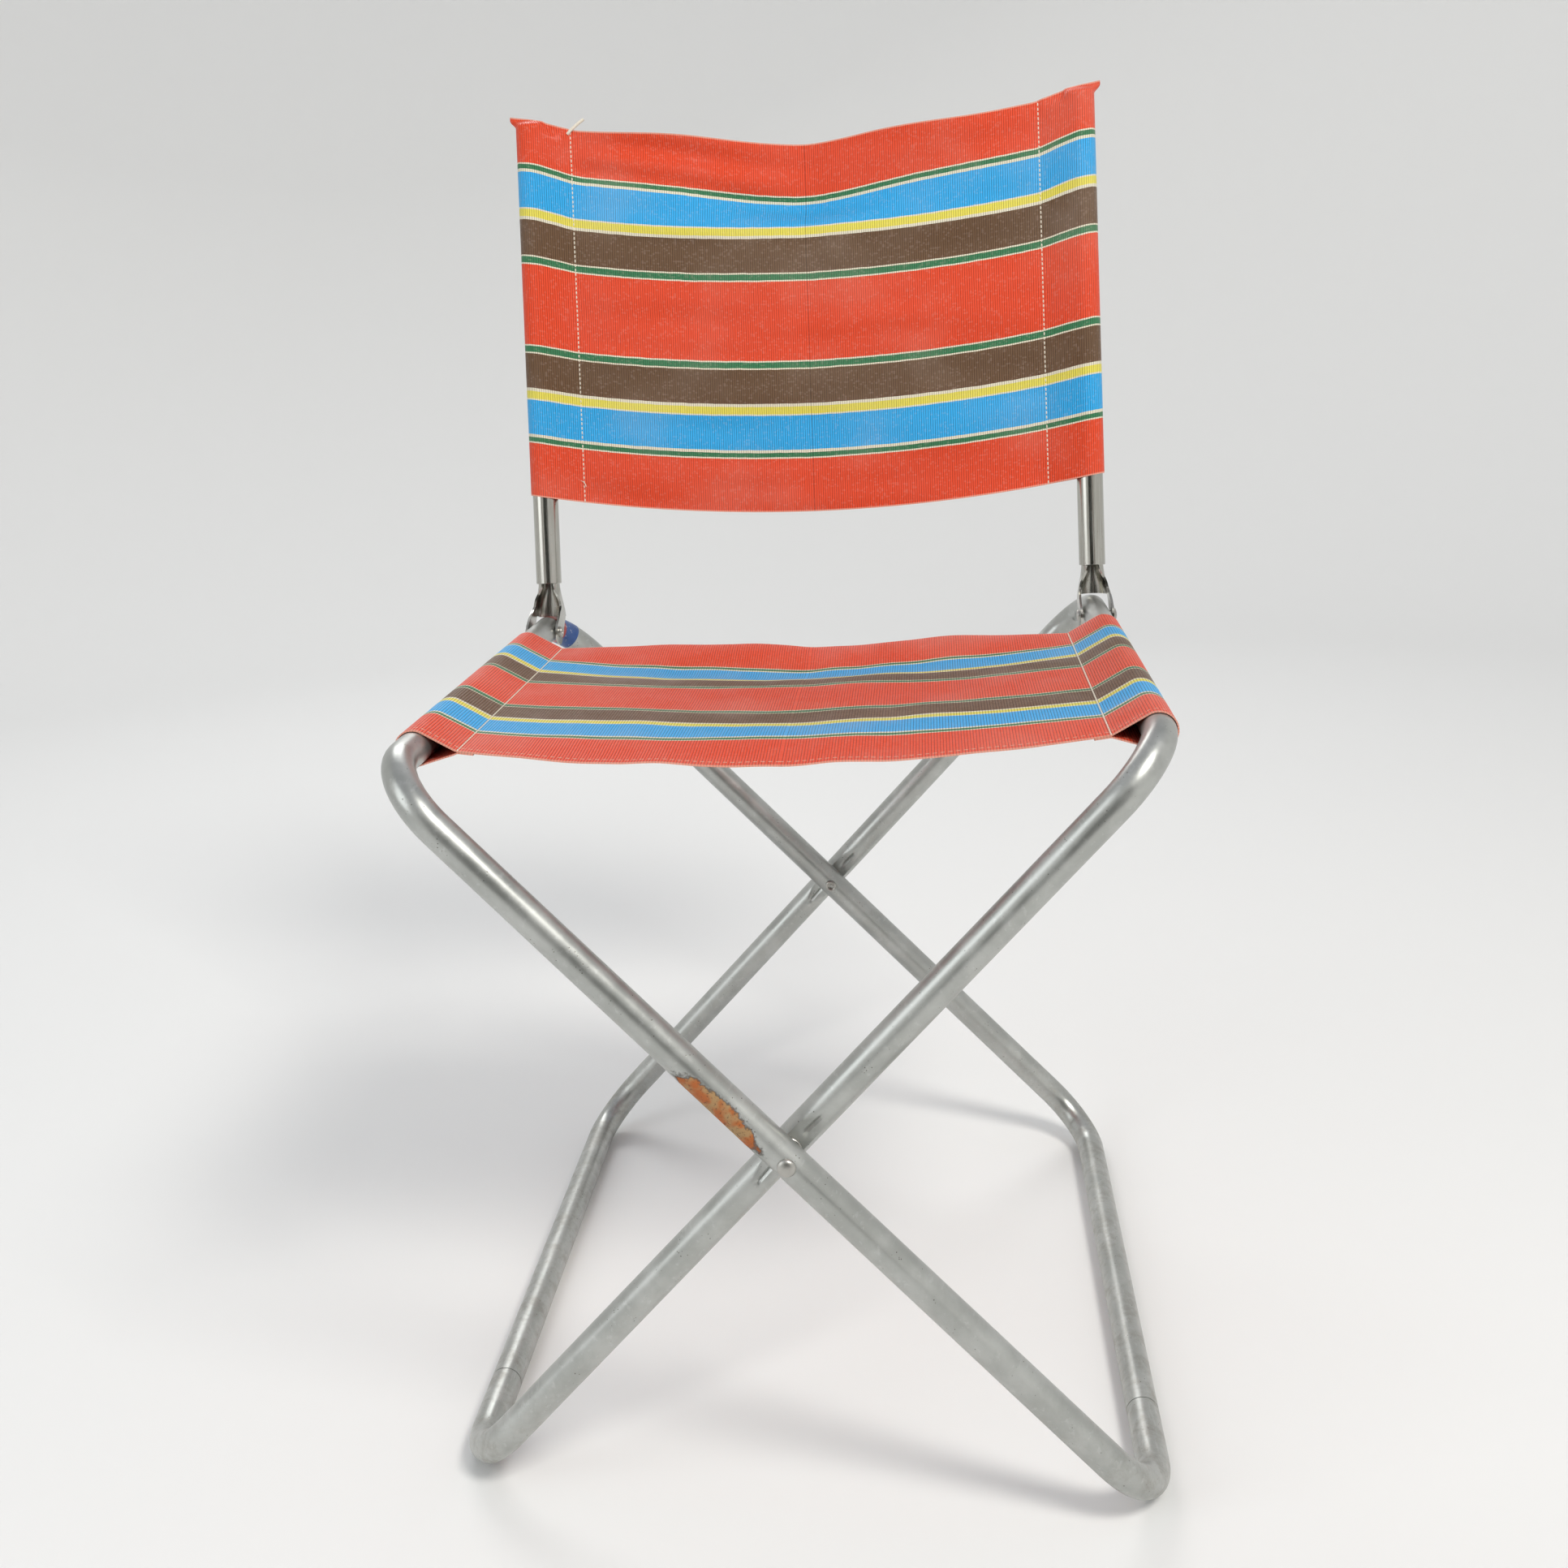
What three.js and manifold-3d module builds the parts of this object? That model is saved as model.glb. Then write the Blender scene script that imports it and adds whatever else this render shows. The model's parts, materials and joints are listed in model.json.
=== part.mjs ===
// Folding camp chair: two tube loops crossed as an X and pinned front and rear, a cloth seat slung
// between their top rails, and a folding cloth back on two posts. Each post is hinged to a rail by a
// sheet-metal clevis that opens forward, so the back lies down over the rails as the X closes.
// Millimetres, +Z up, the sitter faces -Y. The origin is under the middle of the whole chair.

import * as THREE from 'three';
import { mergeVertices } from 'three/addons/utils/BufferGeometryUtils.js';
import Module from 'manifold-3d';

// Driving dimensions.
const TUBE_RADIUS = 9.5;        // to the flats of the faceted tube
const TUBE_WALL = 1.2;
const TUBE_SIDES = 16;
const SEAT_HALF_WIDTH = 204;    // middle of the chair to a rail's centre
const FOOT_HALF_WIDTH = 195;    // middle of the chair to a foot rail's centre
const RAIL_HEIGHT = 432;        // ground to a rail's centre
const LOOP_DEPTH = 445;         // front leg to rear leg, centre to centre, in one loop
const LOOP_BEND = 40;           // centreline radius of a loop's corners
const LOOP_GAP = 0.8;           // free space between the two loops where they cross
const CLEARANCE = 0.3;          // between pieces that touch

const BUTT_GAP = 0.6;           // slit where a loop's two ends meet in the foot rail
const BUTT_FROM_FRONT = 85;     // front leg's centre to that slit
const FERRULE_LENGTH = 50;
const FERRULE_WALL = 1;

const DIMPLE_DEPTH = 2.2;       // flat pressed into the right loop's legs for the washer
const DIMPLE_FLAT = 14;         // half length of the flat floor
const DIMPLE_HALF_LENGTH = 30;
const WASHER_RADIUS = 7;

const RIVET_RADIUS = 3;
const RIVET_HEAD_RADIUS = 5.2;
const RIVET_HEAD_HEIGHT = 2.6;
const RIVET_TAIL_RADIUS = 4.2;
const RIVET_TAIL_HEIGHT = 1.6;
const RIVET_TAIL_BORE = 2.2;
const RIVET_ROLL_SHARE = 0.6;   // share of the tail's height below its rolled rim

const HINGE_Y = 165.5;          // post hinge, behind the middle of the two loops
const POST_SETBACK = 22;        // hinge to the post's axis, so the folded post clears the rail
const POST_LEAN = 8;            // degrees back from upright when open
const POST_START = 36;          // hinge to the post tube's lower edge, along the post
const POST_TOP = 377;           // hinge to the post tube's top edge, along the post
const CAP_FLANGE = 2.5;
const CAP_PLUG = 12;
const CAP_LEAD_IN = 1;          // chamfer at the plug's lower end, and twice that along it
const CAP_ROUNDING = 1.9;       // how much narrower the cap's top is than its rim
const CAP_CROWN = 0.5;

const CLEVIS_WALL = 1.6;
const CLEVIS_PLUG_TOP = 56;     // top of the half tube pushed up into the post
const EAR_RADIUS = 9.5;
const EAR_CLEARANCE = 0.7;      // between an ear and the rail
const FLARE_START = 33;         // height where the channel begins to spread, going down
const FLARE_END = 17;           // height where the ears are fully apart
const EAR_ARC = [-0.6, -0.9 * Math.PI, -1.2 * Math.PI]; // ear's round edge, angles from the rear
const SHOULDER_LOW = 2;         // above FLARE_END, where the front edge of the channel turns up
const SHOULDER_HIGH = 4;        // below FLARE_START, where it turns back to the half tube
const CLEVIS_STEPS = 10;

const CLOTH = 0.8;              // thickness of one layer
const CLOTH_WIDTH = 285;        // selvedge to selvedge of the striped cloth
const SEAT_ON_BEND = 1.4;       // how far the seat's front edge runs onto the loops' front bends
const SEAT_SEAM = 25;           // rail's centre to the seam that closes the rail's pocket
const SEAT_SAG = 10;
const BACK_START = 98.5;        // hinge to the back's lower edge, along the post
const BACK_SEAM = 30;           // post's axis to the seam that closes the post's pocket
const BACK_BELLY = 8;           // how far the back's middle hangs to the rear
const BACK_DROOP = 17;          // how far the back's middle hangs down
const POCKET_SEAM = 3;          // width of the two layers sewn together at a pocket's edge
const PANEL_STEPS = 16;

// Values that follow from them.
const TUBE_CORNER = TUBE_RADIUS / Math.cos(Math.PI / TUBE_SIDES);
const LOOP_OFFSET = 2 * TUBE_RADIUS + LOOP_GAP;
const SEAT_FRONT_Y = (LOOP_OFFSET - LOOP_DEPTH) / 2 + LOOP_BEND - SEAT_ON_BEND;
const LEG_ANGLE = Math.atan2(SEAT_HALF_WIDTH + FOOT_HALF_WIDTH, RAIL_HEIGHT - TUBE_RADIUS);
const UPPER_LEG = SEAT_HALF_WIDTH / Math.sin(LEG_ANGLE);
const LOWER_LEG = FOOT_HALF_WIDTH / Math.sin(LEG_ANGLE);
const CROSS_HEIGHT = RAIL_HEIGHT - SEAT_HALF_WIDTH / Math.tan(LEG_ANGLE);
const HOLE_RADIUS = RIVET_RADIUS + CLEARANCE;
const EAR_INSIDE = TUBE_CORNER + EAR_CLEARANCE;
const LEAN = THREE.MathUtils.degToRad(POST_LEAN);
const BORE_RADIUS = TUBE_RADIUS - TUBE_WALL;
const POCKET_INSIDE = TUBE_CORNER + CLEARANCE;
const BEND_STEPS = 6;
const SIDES = { left: -1, right: 1 };

const MATERIALS = {
  tube: new THREE.MeshStandardMaterial({ color: 0xb9bbb6, roughness: 0.42, metalness: 0.85 }),
  post: new THREE.MeshStandardMaterial({ color: 0xa9a89c, roughness: 0.28, metalness: 0.95 }),
  hardware: new THREE.MeshStandardMaterial({ color: 0x8e8a80, roughness: 0.35, metalness: 0.95 }),
  cloth: new THREE.MeshStandardMaterial({ color: 0xd9553c, roughness: 0.6, metalness: 0 }),
  cap: new THREE.MeshStandardMaterial({ color: 0x2b2c2e, roughness: 0.6, metalness: 0 }),
};

const wasm = await Module();
wasm.setup();

function toSolid(geometry) {
  const bare = geometry.clone();
  bare.deleteAttribute('normal');
  bare.deleteAttribute('uv');
  const merged = mergeVertices(bare, 1e-4);
  return new wasm.Manifold(new wasm.Mesh({
    numProp: 3,
    vertProperties: new Float32Array(merged.attributes.position.array),
    triVerts: new Uint32Array(merged.index.array),
  }));
}

function toGeometry(solid) {
  const mesh = solid.getMesh();
  const geometry = new THREE.BufferGeometry();
  geometry.setAttribute('position', new THREE.BufferAttribute(mesh.vertProperties, 3));
  geometry.setIndex(new THREE.BufferAttribute(mesh.triVerts, 1));
  return geometry;
}

function cut(geometry, tools) {
  const result = tools.reduce((solid, tool) => solid.subtract(toSolid(tool)), toSolid(geometry));
  return toGeometry(result);
}

// Moves every corner of a geometry by a rule that edits a Vector3 in place.
function reshape(geometry, rule) {
  const position = geometry.attributes.position;
  const corner = new THREE.Vector3();
  for (let i = 0; i < position.count; i += 1) {
    corner.fromBufferAttribute(position, i);
    rule(corner);
    position.setXYZ(i, corner.x, corner.y, corner.z);
  }
  return geometry;
}

// A path given by its stations, so straight runs cost no extra faces. A section's x runs along
// the fixed direction `across`, and its y along the travel direction crossed with it.
class StationPath extends THREE.Curve {
  constructor(stations, across) {
    super();
    this.stations = stations;
    this.across = across;
  }

  stationAt(u) {
    return this.stations[Math.round(u * (this.stations.length - 1))];
  }

  getPointAt(u, target = new THREE.Vector3()) {
    return target.copy(this.stationAt(u).point);
  }

  computeFrenetFrames() {
    const tangents = this.stations.map((station) => station.tangent);
    return {
      tangents,
      normals: tangents.map(() => this.across),
      binormals: tangents.map((tangent) => tangent.clone().cross(this.across)),
    };
  }
}

function sweep(shape, stations, across) {
  return new THREE.ExtrudeGeometry(shape, {
    steps: stations.length - 1,
    curveSegments: 8,
    extrudePath: new StationPath(stations, across),
  });
}

// A straight bar of one section between two points, cut into equal steps.
function bar(shape, from, to, across, steps = 1) {
  const tangent = to.clone().sub(from).normalize();
  const stations = [];
  for (let i = 0; i <= steps; i += 1) {
    stations.push({ point: from.clone().lerp(to, i / steps), tangent });
  }
  return sweep(shape, stations, across);
}

// Points of a regular polygon whose first flat faces the given direction.
function polygon(apothem, sides, facing) {
  const radius = apothem / Math.cos(Math.PI / sides);
  const points = [];
  for (let i = 0; i < sides; i += 1) {
    const angle = facing + ((i + 0.5) * 2 * Math.PI) / sides;
    points.push(new THREE.Vector2(radius * Math.cos(angle), radius * Math.sin(angle)));
  }
  return points;
}

function named(name, geometry, material) {
  const mesh = new THREE.Mesh(geometry, material);
  mesh.name = name;
  return mesh;
}

// Loop -----------------------------------------------------------------------------------------
// In a loop's own frame the crossing is at z = 0, the legs run along z, the rails along y.

function cornerStations(centreY, centreZ, startAngle) {
  const stations = [];
  for (let i = 0; i <= BEND_STEPS; i += 1) {
    const angle = startAngle + (i / BEND_STEPS) * (Math.PI / 2);
    const cos = Math.cos(angle);
    const sin = Math.sin(angle);
    stations.push({
      point: new THREE.Vector3(0, centreY + LOOP_BEND * cos, centreZ + LOOP_BEND * sin),
      tangent: new THREE.Vector3(0, -sin, cos),
    });
  }
  return stations;
}

function legStations(y, direction) {
  const heights = [-DIMPLE_HALF_LENGTH, -0.75 * DIMPLE_HALF_LENGTH, -DIMPLE_FLAT, 0];
  const both = heights.concat(heights.slice(0, -1).reverse().map((z) => -z));
  return both.map((z) => ({
    point: new THREE.Vector3(0, y, z * direction),
    tangent: new THREE.Vector3(0, 0, direction),
  }));
}

function loopStations() {
  const half = LOOP_DEPTH / 2;
  const inset = half - LOOP_BEND;
  const buttY = -half + BUTT_FROM_FRONT;
  const low = -LOWER_LEG + LOOP_BEND;
  const high = UPPER_LEG - LOOP_BEND;
  const onFoot = (y) => ({
    point: new THREE.Vector3(0, y, -LOWER_LEG),
    tangent: new THREE.Vector3(0, 1, 0),
  });
  return [
    onFoot(buttY + BUTT_GAP / 2),
    ...cornerStations(inset, low, -Math.PI / 2),
    ...legStations(half, 1),
    ...cornerStations(inset, high, 0),
    ...cornerStations(-inset, high, Math.PI / 2),
    ...legStations(-half, -1),
    ...cornerStations(-inset, low, Math.PI),
    onFoot(buttY - BUTT_GAP / 2),
  ];
}

function dimpleDepth(z) {
  const along = (Math.abs(z) - DIMPLE_FLAT) / (DIMPLE_HALF_LENGTH - DIMPLE_FLAT);
  return DIMPLE_DEPTH * (1 - THREE.MathUtils.smoothstep(along, 0, 1));
}

// Presses the side of both legs that faces -y inwards, wall and bore alike.
function pressDimples(geometry) {
  return reshape(geometry, (corner) => {
    if (Math.abs(corner.z) >= DIMPLE_HALF_LENGTH) return;
    const legY = Math.sign(corner.y) * (LOOP_DEPTH / 2);
    const out = legY - corner.y;
    const onBore = Math.hypot(corner.x, out) < TUBE_RADIUS - TUBE_WALL / 3;
    const limit = (onBore ? BORE_RADIUS : TUBE_RADIUS) - dimpleDepth(corner.z);
    corner.y = legY - Math.min(out, limit);
  });
}

function holeAlongY(y, length) {
  const tool = new THREE.CylinderGeometry(HOLE_RADIUS, HOLE_RADIUS, length, 16);
  return tool.translate(0, y, 0);
}

function hingeHole(turn, y) {
  const tool = new THREE.CylinderGeometry(HOLE_RADIUS, HOLE_RADIUS, 4 * TUBE_RADIUS, 16);
  return tool.rotateZ(Math.PI / 2).rotateY(-turn).translate(0, y, UPPER_LEG);
}

function makeFrame(name, side) {
  const turn = side * LEG_ANGLE;
  const offset = (side * LOOP_OFFSET) / 2;
  const down = Math.atan2(Math.cos(turn), Math.sin(turn));
  const section = new THREE.Shape(polygon(TUBE_RADIUS, TUBE_SIDES, down));
  section.holes.push(new THREE.Path(polygon(BORE_RADIUS, TUBE_SIDES, down)));
  let tube = sweep(section, loopStations(), new THREE.Vector3(1, 0, 0));
  if (side > 0) tube = pressDimples(tube);
  tube = cut(tube, [
    holeAlongY(-LOOP_DEPTH / 2, 4 * TUBE_RADIUS),
    holeAlongY(LOOP_DEPTH / 2, 4 * TUBE_RADIUS),
    hingeHole(turn, HINGE_Y - offset),
  ]);

  const ferrule = ring(BORE_RADIUS - CLEARANCE - FERRULE_WALL, BORE_RADIUS - CLEARANCE, FERRULE_LENGTH);
  ferrule.translate(0, -LOOP_DEPTH / 2 + BUTT_FROM_FRONT, -LOWER_LEG);

  const frame = new THREE.Group();
  frame.position.set(0, offset, CROSS_HEIGHT);
  frame.rotation.y = turn;
  frame.add(named(`${name}_frame_tube`, tube, MATERIALS.tube));
  frame.add(named(`${name}_frame_ferrule`, ferrule, MATERIALS.hardware));
  return frame;
}

// Turned pieces, all about the y axis -----------------------------------------------------------

function ring(inside, outside, length) {
  const profile = [
    new THREE.Vector2(inside, -length / 2),
    new THREE.Vector2(outside, -length / 2),
    new THREE.Vector2(outside, length / 2),
    new THREE.Vector2(inside, length / 2),
    new THREE.Vector2(inside, -length / 2),
  ];
  return new THREE.LatheGeometry(profile, 24);
}

// A rivet with its domed head below y = 0 and its rolled tail above y = grip.
function rivet(grip) {
  const profile = [];
  for (let i = 0; i <= 4; i += 1) {
    const angle = (i / 4) * (Math.PI / 2);
    profile.push(new THREE.Vector2(
      RIVET_HEAD_RADIUS * Math.sin(angle),
      -RIVET_HEAD_HEIGHT * Math.cos(angle),
    ));
  }
  const rim = (RIVET_TAIL_RADIUS + RIVET_TAIL_BORE) / 2;
  profile.push(
    new THREE.Vector2(RIVET_RADIUS, 0),
    new THREE.Vector2(RIVET_RADIUS, grip),
    new THREE.Vector2(RIVET_TAIL_RADIUS, grip),
    new THREE.Vector2(RIVET_TAIL_RADIUS, grip + RIVET_ROLL_SHARE * RIVET_TAIL_HEIGHT),
    new THREE.Vector2(rim, grip + RIVET_TAIL_HEIGHT),
    new THREE.Vector2(RIVET_TAIL_BORE, grip + RIVET_ROLL_SHARE * RIVET_TAIL_HEIGHT),
    new THREE.Vector2(RIVET_TAIL_BORE, grip),
    new THREE.Vector2(0, grip),
  );
  return new THREE.LatheGeometry(profile, 20);
}

// The pin and washer of one crossing. The front one has its head to the front, the rear one behind.
function makePivot(name, facing) {
  const reach = LOOP_OFFSET / 2 + TUBE_CORNER + CLEARANCE;
  const pin = rivet(2 * reach).translate(0, -reach, 0);
  if (facing > 0) pin.rotateX(Math.PI);

  const gap = LOOP_GAP + DIMPLE_DEPTH;
  const washer = ring(HOLE_RADIUS, WASHER_RADIUS, gap - 2 * CLEARANCE);
  washer.translate(0, -LOOP_OFFSET / 2 + TUBE_RADIUS + gap / 2, 0);

  const pivot = new THREE.Group();
  pivot.position.set(0, (facing * LOOP_DEPTH) / 2, CROSS_HEIGHT);
  pivot.add(named(`${name}_pivot_rivet`, pin, MATERIALS.hardware));
  pivot.add(named(`${name}_pivot_washer`, washer, MATERIALS.hardware));
  return pivot;
}

// Post and clevis -------------------------------------------------------------------------------
// In a post's own frame the hinge is the origin, the post's axis is at y = POST_SETBACK along z.

function channelShape() {
  const outside = BORE_RADIUS - CLEARANCE;
  const inside = outside - CLEVIS_WALL;
  const front = -POST_SETBACK - 2 * EAR_RADIUS;
  const shape = new THREE.Shape();
  shape.moveTo(outside, front);
  shape.lineTo(outside, 0);
  shape.absarc(0, 0, outside, 0, Math.PI, false);
  shape.lineTo(-outside, front);
  shape.lineTo(-inside, front);
  shape.lineTo(-inside, 0);
  shape.absarc(0, 0, inside, Math.PI, 0, true);
  shape.lineTo(inside, front);
  return shape;
}

// Height in the leaning post's frame of the plane just above the rail, on which the clevis rests.
function restHeight(y) {
  return (TUBE_CORNER + CLEARANCE + y * Math.sin(LEAN)) / Math.cos(LEAN);
}

function earProfile() {
  const rear = POST_SETBACK + 2 * TUBE_RADIUS;
  const shape = new THREE.Shape();
  shape.moveTo(rear, CLEVIS_PLUG_TOP);
  shape.lineTo(rear, restHeight(rear));
  shape.lineTo(POST_SETBACK, restHeight(POST_SETBACK));
  shape.lineTo(EAR_RADIUS * Math.cos(EAR_ARC[0]), EAR_RADIUS * Math.sin(EAR_ARC[0]));
  shape.absarc(0, 0, EAR_RADIUS, EAR_ARC[0], EAR_ARC[1], true);
  shape.absarc(0, 0, EAR_RADIUS, EAR_ARC[1], EAR_ARC[2], true);
  shape.lineTo(POST_SETBACK - TUBE_RADIUS, FLARE_END + SHOULDER_LOW);
  shape.lineTo(POST_SETBACK - TUBE_RADIUS / 2, FLARE_START - SHOULDER_HIGH);
  shape.lineTo(POST_SETBACK, FLARE_START);
  shape.lineTo(POST_SETBACK, CLEVIS_PLUG_TOP);
  return shape;
}

function makeClevis() {
  const low = -EAR_RADIUS - 1;
  const axisAt = (z) => new THREE.Vector3(0, POST_SETBACK, z);
  const across = new THREE.Vector3(1, 0, 0);
  const channel = bar(channelShape(), axisAt(low), axisAt(CLEVIS_PLUG_TOP), across, CLEVIS_STEPS);
  const inside = BORE_RADIUS - CLEARANCE - CLEVIS_WALL;
  reshape(channel, (corner) => {
    const spread = 1 - THREE.MathUtils.smoothstep(corner.z, FLARE_END, FLARE_START);
    const share = THREE.MathUtils.clamp(corner.x / inside, -1, 1);
    corner.x += (EAR_INSIDE - inside) * spread * share;
  });
  const width = 4 * TUBE_RADIUS;
  const sideView = bar(
    earProfile(),
    new THREE.Vector3(-width / 2, 0, 0),
    new THREE.Vector3(width / 2, 0, 0),
    new THREE.Vector3(0, 1, 0),
  );
  const hole = new THREE.CylinderGeometry(HOLE_RADIUS, HOLE_RADIUS, width, 16).rotateZ(Math.PI / 2);
  return toGeometry(toSolid(channel).intersect(toSolid(sideView)).subtract(toSolid(hole)));
}

function makeCap() {
  const plug = BORE_RADIUS - CLEARANCE;
  const profile = [
    new THREE.Vector2(0, -CAP_PLUG),
    new THREE.Vector2(plug - CAP_LEAD_IN, -CAP_PLUG),
    new THREE.Vector2(plug, -CAP_PLUG + 2 * CAP_LEAD_IN),
    new THREE.Vector2(plug, CLEARANCE),
    new THREE.Vector2(TUBE_RADIUS, CLEARANCE),
    new THREE.Vector2(TUBE_RADIUS - CAP_ROUNDING, CAP_FLANGE),
    new THREE.Vector2(0, CAP_FLANGE + CAP_CROWN),
  ];
  return new THREE.LatheGeometry(profile, 24).rotateX(Math.PI / 2).translate(0, POST_SETBACK, POST_TOP);
}

function makePost(name, side) {
  const tubeLength = POST_TOP - POST_START;
  const tube = ring(BORE_RADIUS, TUBE_RADIUS, tubeLength).rotateX(Math.PI / 2);
  tube.translate(0, POST_SETBACK, POST_START + tubeLength / 2);

  const pocketEnd = BACK_START + CLOTH_WIDTH;
  const pocket = bar(
    pocketShape(BACK_SEAM),
    new THREE.Vector3(0, POST_SETBACK, BACK_START),
    new THREE.Vector3(0, POST_SETBACK, pocketEnd),
    pocketDirection(side, BACK_BELLY, BACK_SEAM, 'y'),
  );

  const post = new THREE.Group();
  post.position.set(side * SEAT_HALF_WIDTH, HINGE_Y, RAIL_HEIGHT);
  post.rotation.x = -LEAN;
  post.add(named(`${name}_post_tube`, tube, MATERIALS.post));
  post.add(named(`${name}_post_clevis`, makeClevis(), MATERIALS.post));
  post.add(named(`${name}_post_cap`, makeCap(), MATERIALS.cap));
  post.add(named(`${name}_back_pocket`, pocket, MATERIALS.cloth));
  return post;
}

function makeHingeRivet(name, side) {
  const reach = EAR_INSIDE + CLEVIS_WALL + CLEARANCE;
  const pin = rivet(2 * reach).translate(0, -reach, 0).rotateZ((side * Math.PI) / 2);
  pin.translate(side * SEAT_HALF_WIDTH, HINGE_Y, RAIL_HEIGHT);
  return named(`${name}_hinge_rivet`, pin, MATERIALS.hardware);
}

// Cloth -----------------------------------------------------------------------------------------

// Section of a sewn pocket round a tube: a ring drawn out to a flat seam at x = seam.
function pocketOutline(Outline, radius, reach, half) {
  const tipAngle = Math.atan2(half, reach);
  const tangentAngle = tipAngle + Math.acos(radius / Math.hypot(reach, half));
  const outline = new Outline();
  outline.moveTo(reach, half);
  outline.lineTo(radius * Math.cos(tangentAngle), radius * Math.sin(tangentAngle));
  outline.absarc(0, 0, radius, tangentAngle, 2 * Math.PI - tangentAngle, false);
  outline.lineTo(reach, -half);
  outline.closePath();
  return outline;
}

function pocketShape(seam) {
  const shape = pocketOutline(THREE.Shape, POCKET_INSIDE + CLOTH, seam, CLOTH);
  shape.holes.push(pocketOutline(THREE.Path, POCKET_INSIDE, seam - POCKET_SEAM, CLEARANCE));
  return shape;
}

// How far a cloth slung between two tubes hangs at a distance from the middle.
function hang(depth, x) {
  return depth * (1 - (x / SEAT_HALF_WIDTH) ** 2);
}

// Direction from a tube's centre to the seam of its pocket, towards the middle and the cloth's hang.
function pocketDirection(side, depth, seam, axis) {
  const direction = new THREE.Vector3(-side * seam, 0, 0);
  direction[axis] = (axis === 'z' ? -1 : 1) * hang(depth, SEAT_HALF_WIDTH - seam);
  return direction.normalize();
}

// A curved strip across the chair: x from seam to seam, y the hang of the cloth.
function panelShape(depth, seam) {
  const half = SEAT_HALF_WIDTH - seam - CLEARANCE;
  const edge = [];
  for (let i = 0; i <= PANEL_STEPS; i += 1) {
    const x = half * ((2 * i) / PANEL_STEPS - 1);
    edge.push(new THREE.Vector2(x, hang(depth, x)));
  }
  const upper = edge.map((point) => new THREE.Vector2(point.x, point.y + CLOTH));
  const lower = edge.map((point) => new THREE.Vector2(point.x, point.y - CLOTH)).reverse();
  return new THREE.Shape(upper.concat(lower));
}

function makeSeatPocket(name, side) {
  const at = (y) => new THREE.Vector3(side * SEAT_HALF_WIDTH, y, RAIL_HEIGHT);
  const direction = pocketDirection(side, SEAT_SAG, SEAT_SEAM, 'z');
  const pocket = bar(pocketShape(SEAT_SEAM), at(SEAT_FRONT_Y), at(SEAT_FRONT_Y + CLOTH_WIDTH), direction);
  return named(`${name}_seat_pocket`, pocket, MATERIALS.cloth);
}

function makeSeatPanel() {
  const at = (y) => new THREE.Vector3(0, y, RAIL_HEIGHT);
  const panel = bar(
    panelShape(SEAT_SAG, SEAT_SEAM),
    at(SEAT_FRONT_Y),
    at(SEAT_FRONT_Y + CLOTH_WIDTH),
    new THREE.Vector3(1, 0, 0),
  );
  return named('seat_panel', panel, MATERIALS.cloth);
}

function makeBackPanel() {
  const at = (z) => new THREE.Vector3(0, POST_SETBACK, z);
  const half = SEAT_HALF_WIDTH - BACK_SEAM;
  const panel = bar(
    panelShape(BACK_BELLY, BACK_SEAM),
    at(BACK_START),
    at(BACK_START + CLOTH_WIDTH),
    new THREE.Vector3(1, 0, 0),
  );
  reshape(panel, (corner) => {
    corner.z -= BACK_DROOP * (1 - (corner.x / half) ** 2);
  });
  const back = new THREE.Group();
  back.position.set(0, HINGE_Y, RAIL_HEIGHT);
  back.rotation.x = -LEAN;
  back.add(named('back_panel', panel, MATERIALS.cloth));
  return back;
}

// Chair -----------------------------------------------------------------------------------------

const chair = new THREE.Group();
for (const [name, side] of Object.entries(SIDES)) {
  chair.add(makeFrame(name, side));
  chair.add(makePost(name, side));
  chair.add(makeHingeRivet(name, side));
  chair.add(makeSeatPocket(name, side));
}
chair.add(makePivot('front', -1));
chair.add(makePivot('rear', 1));
chair.add(makeSeatPanel());
chair.add(makeBackPanel());

// The leaning back reaches past the rear legs, so the chair is moved to centre its box on the origin.
chair.updateMatrixWorld(true);
const box = new THREE.Box3().setFromObject(chair, true);
chair.position.y = -(box.min.y + box.max.y) / 2;

export default chair;
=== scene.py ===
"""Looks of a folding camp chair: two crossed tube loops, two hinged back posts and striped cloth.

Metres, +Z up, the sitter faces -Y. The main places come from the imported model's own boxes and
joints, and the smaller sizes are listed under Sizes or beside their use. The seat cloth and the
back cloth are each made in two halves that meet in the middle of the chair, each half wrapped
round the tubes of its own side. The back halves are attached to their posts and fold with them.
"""

import json
import math

import bmesh
import bpy
from mathutils import Matrix, Vector, noise


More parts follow.
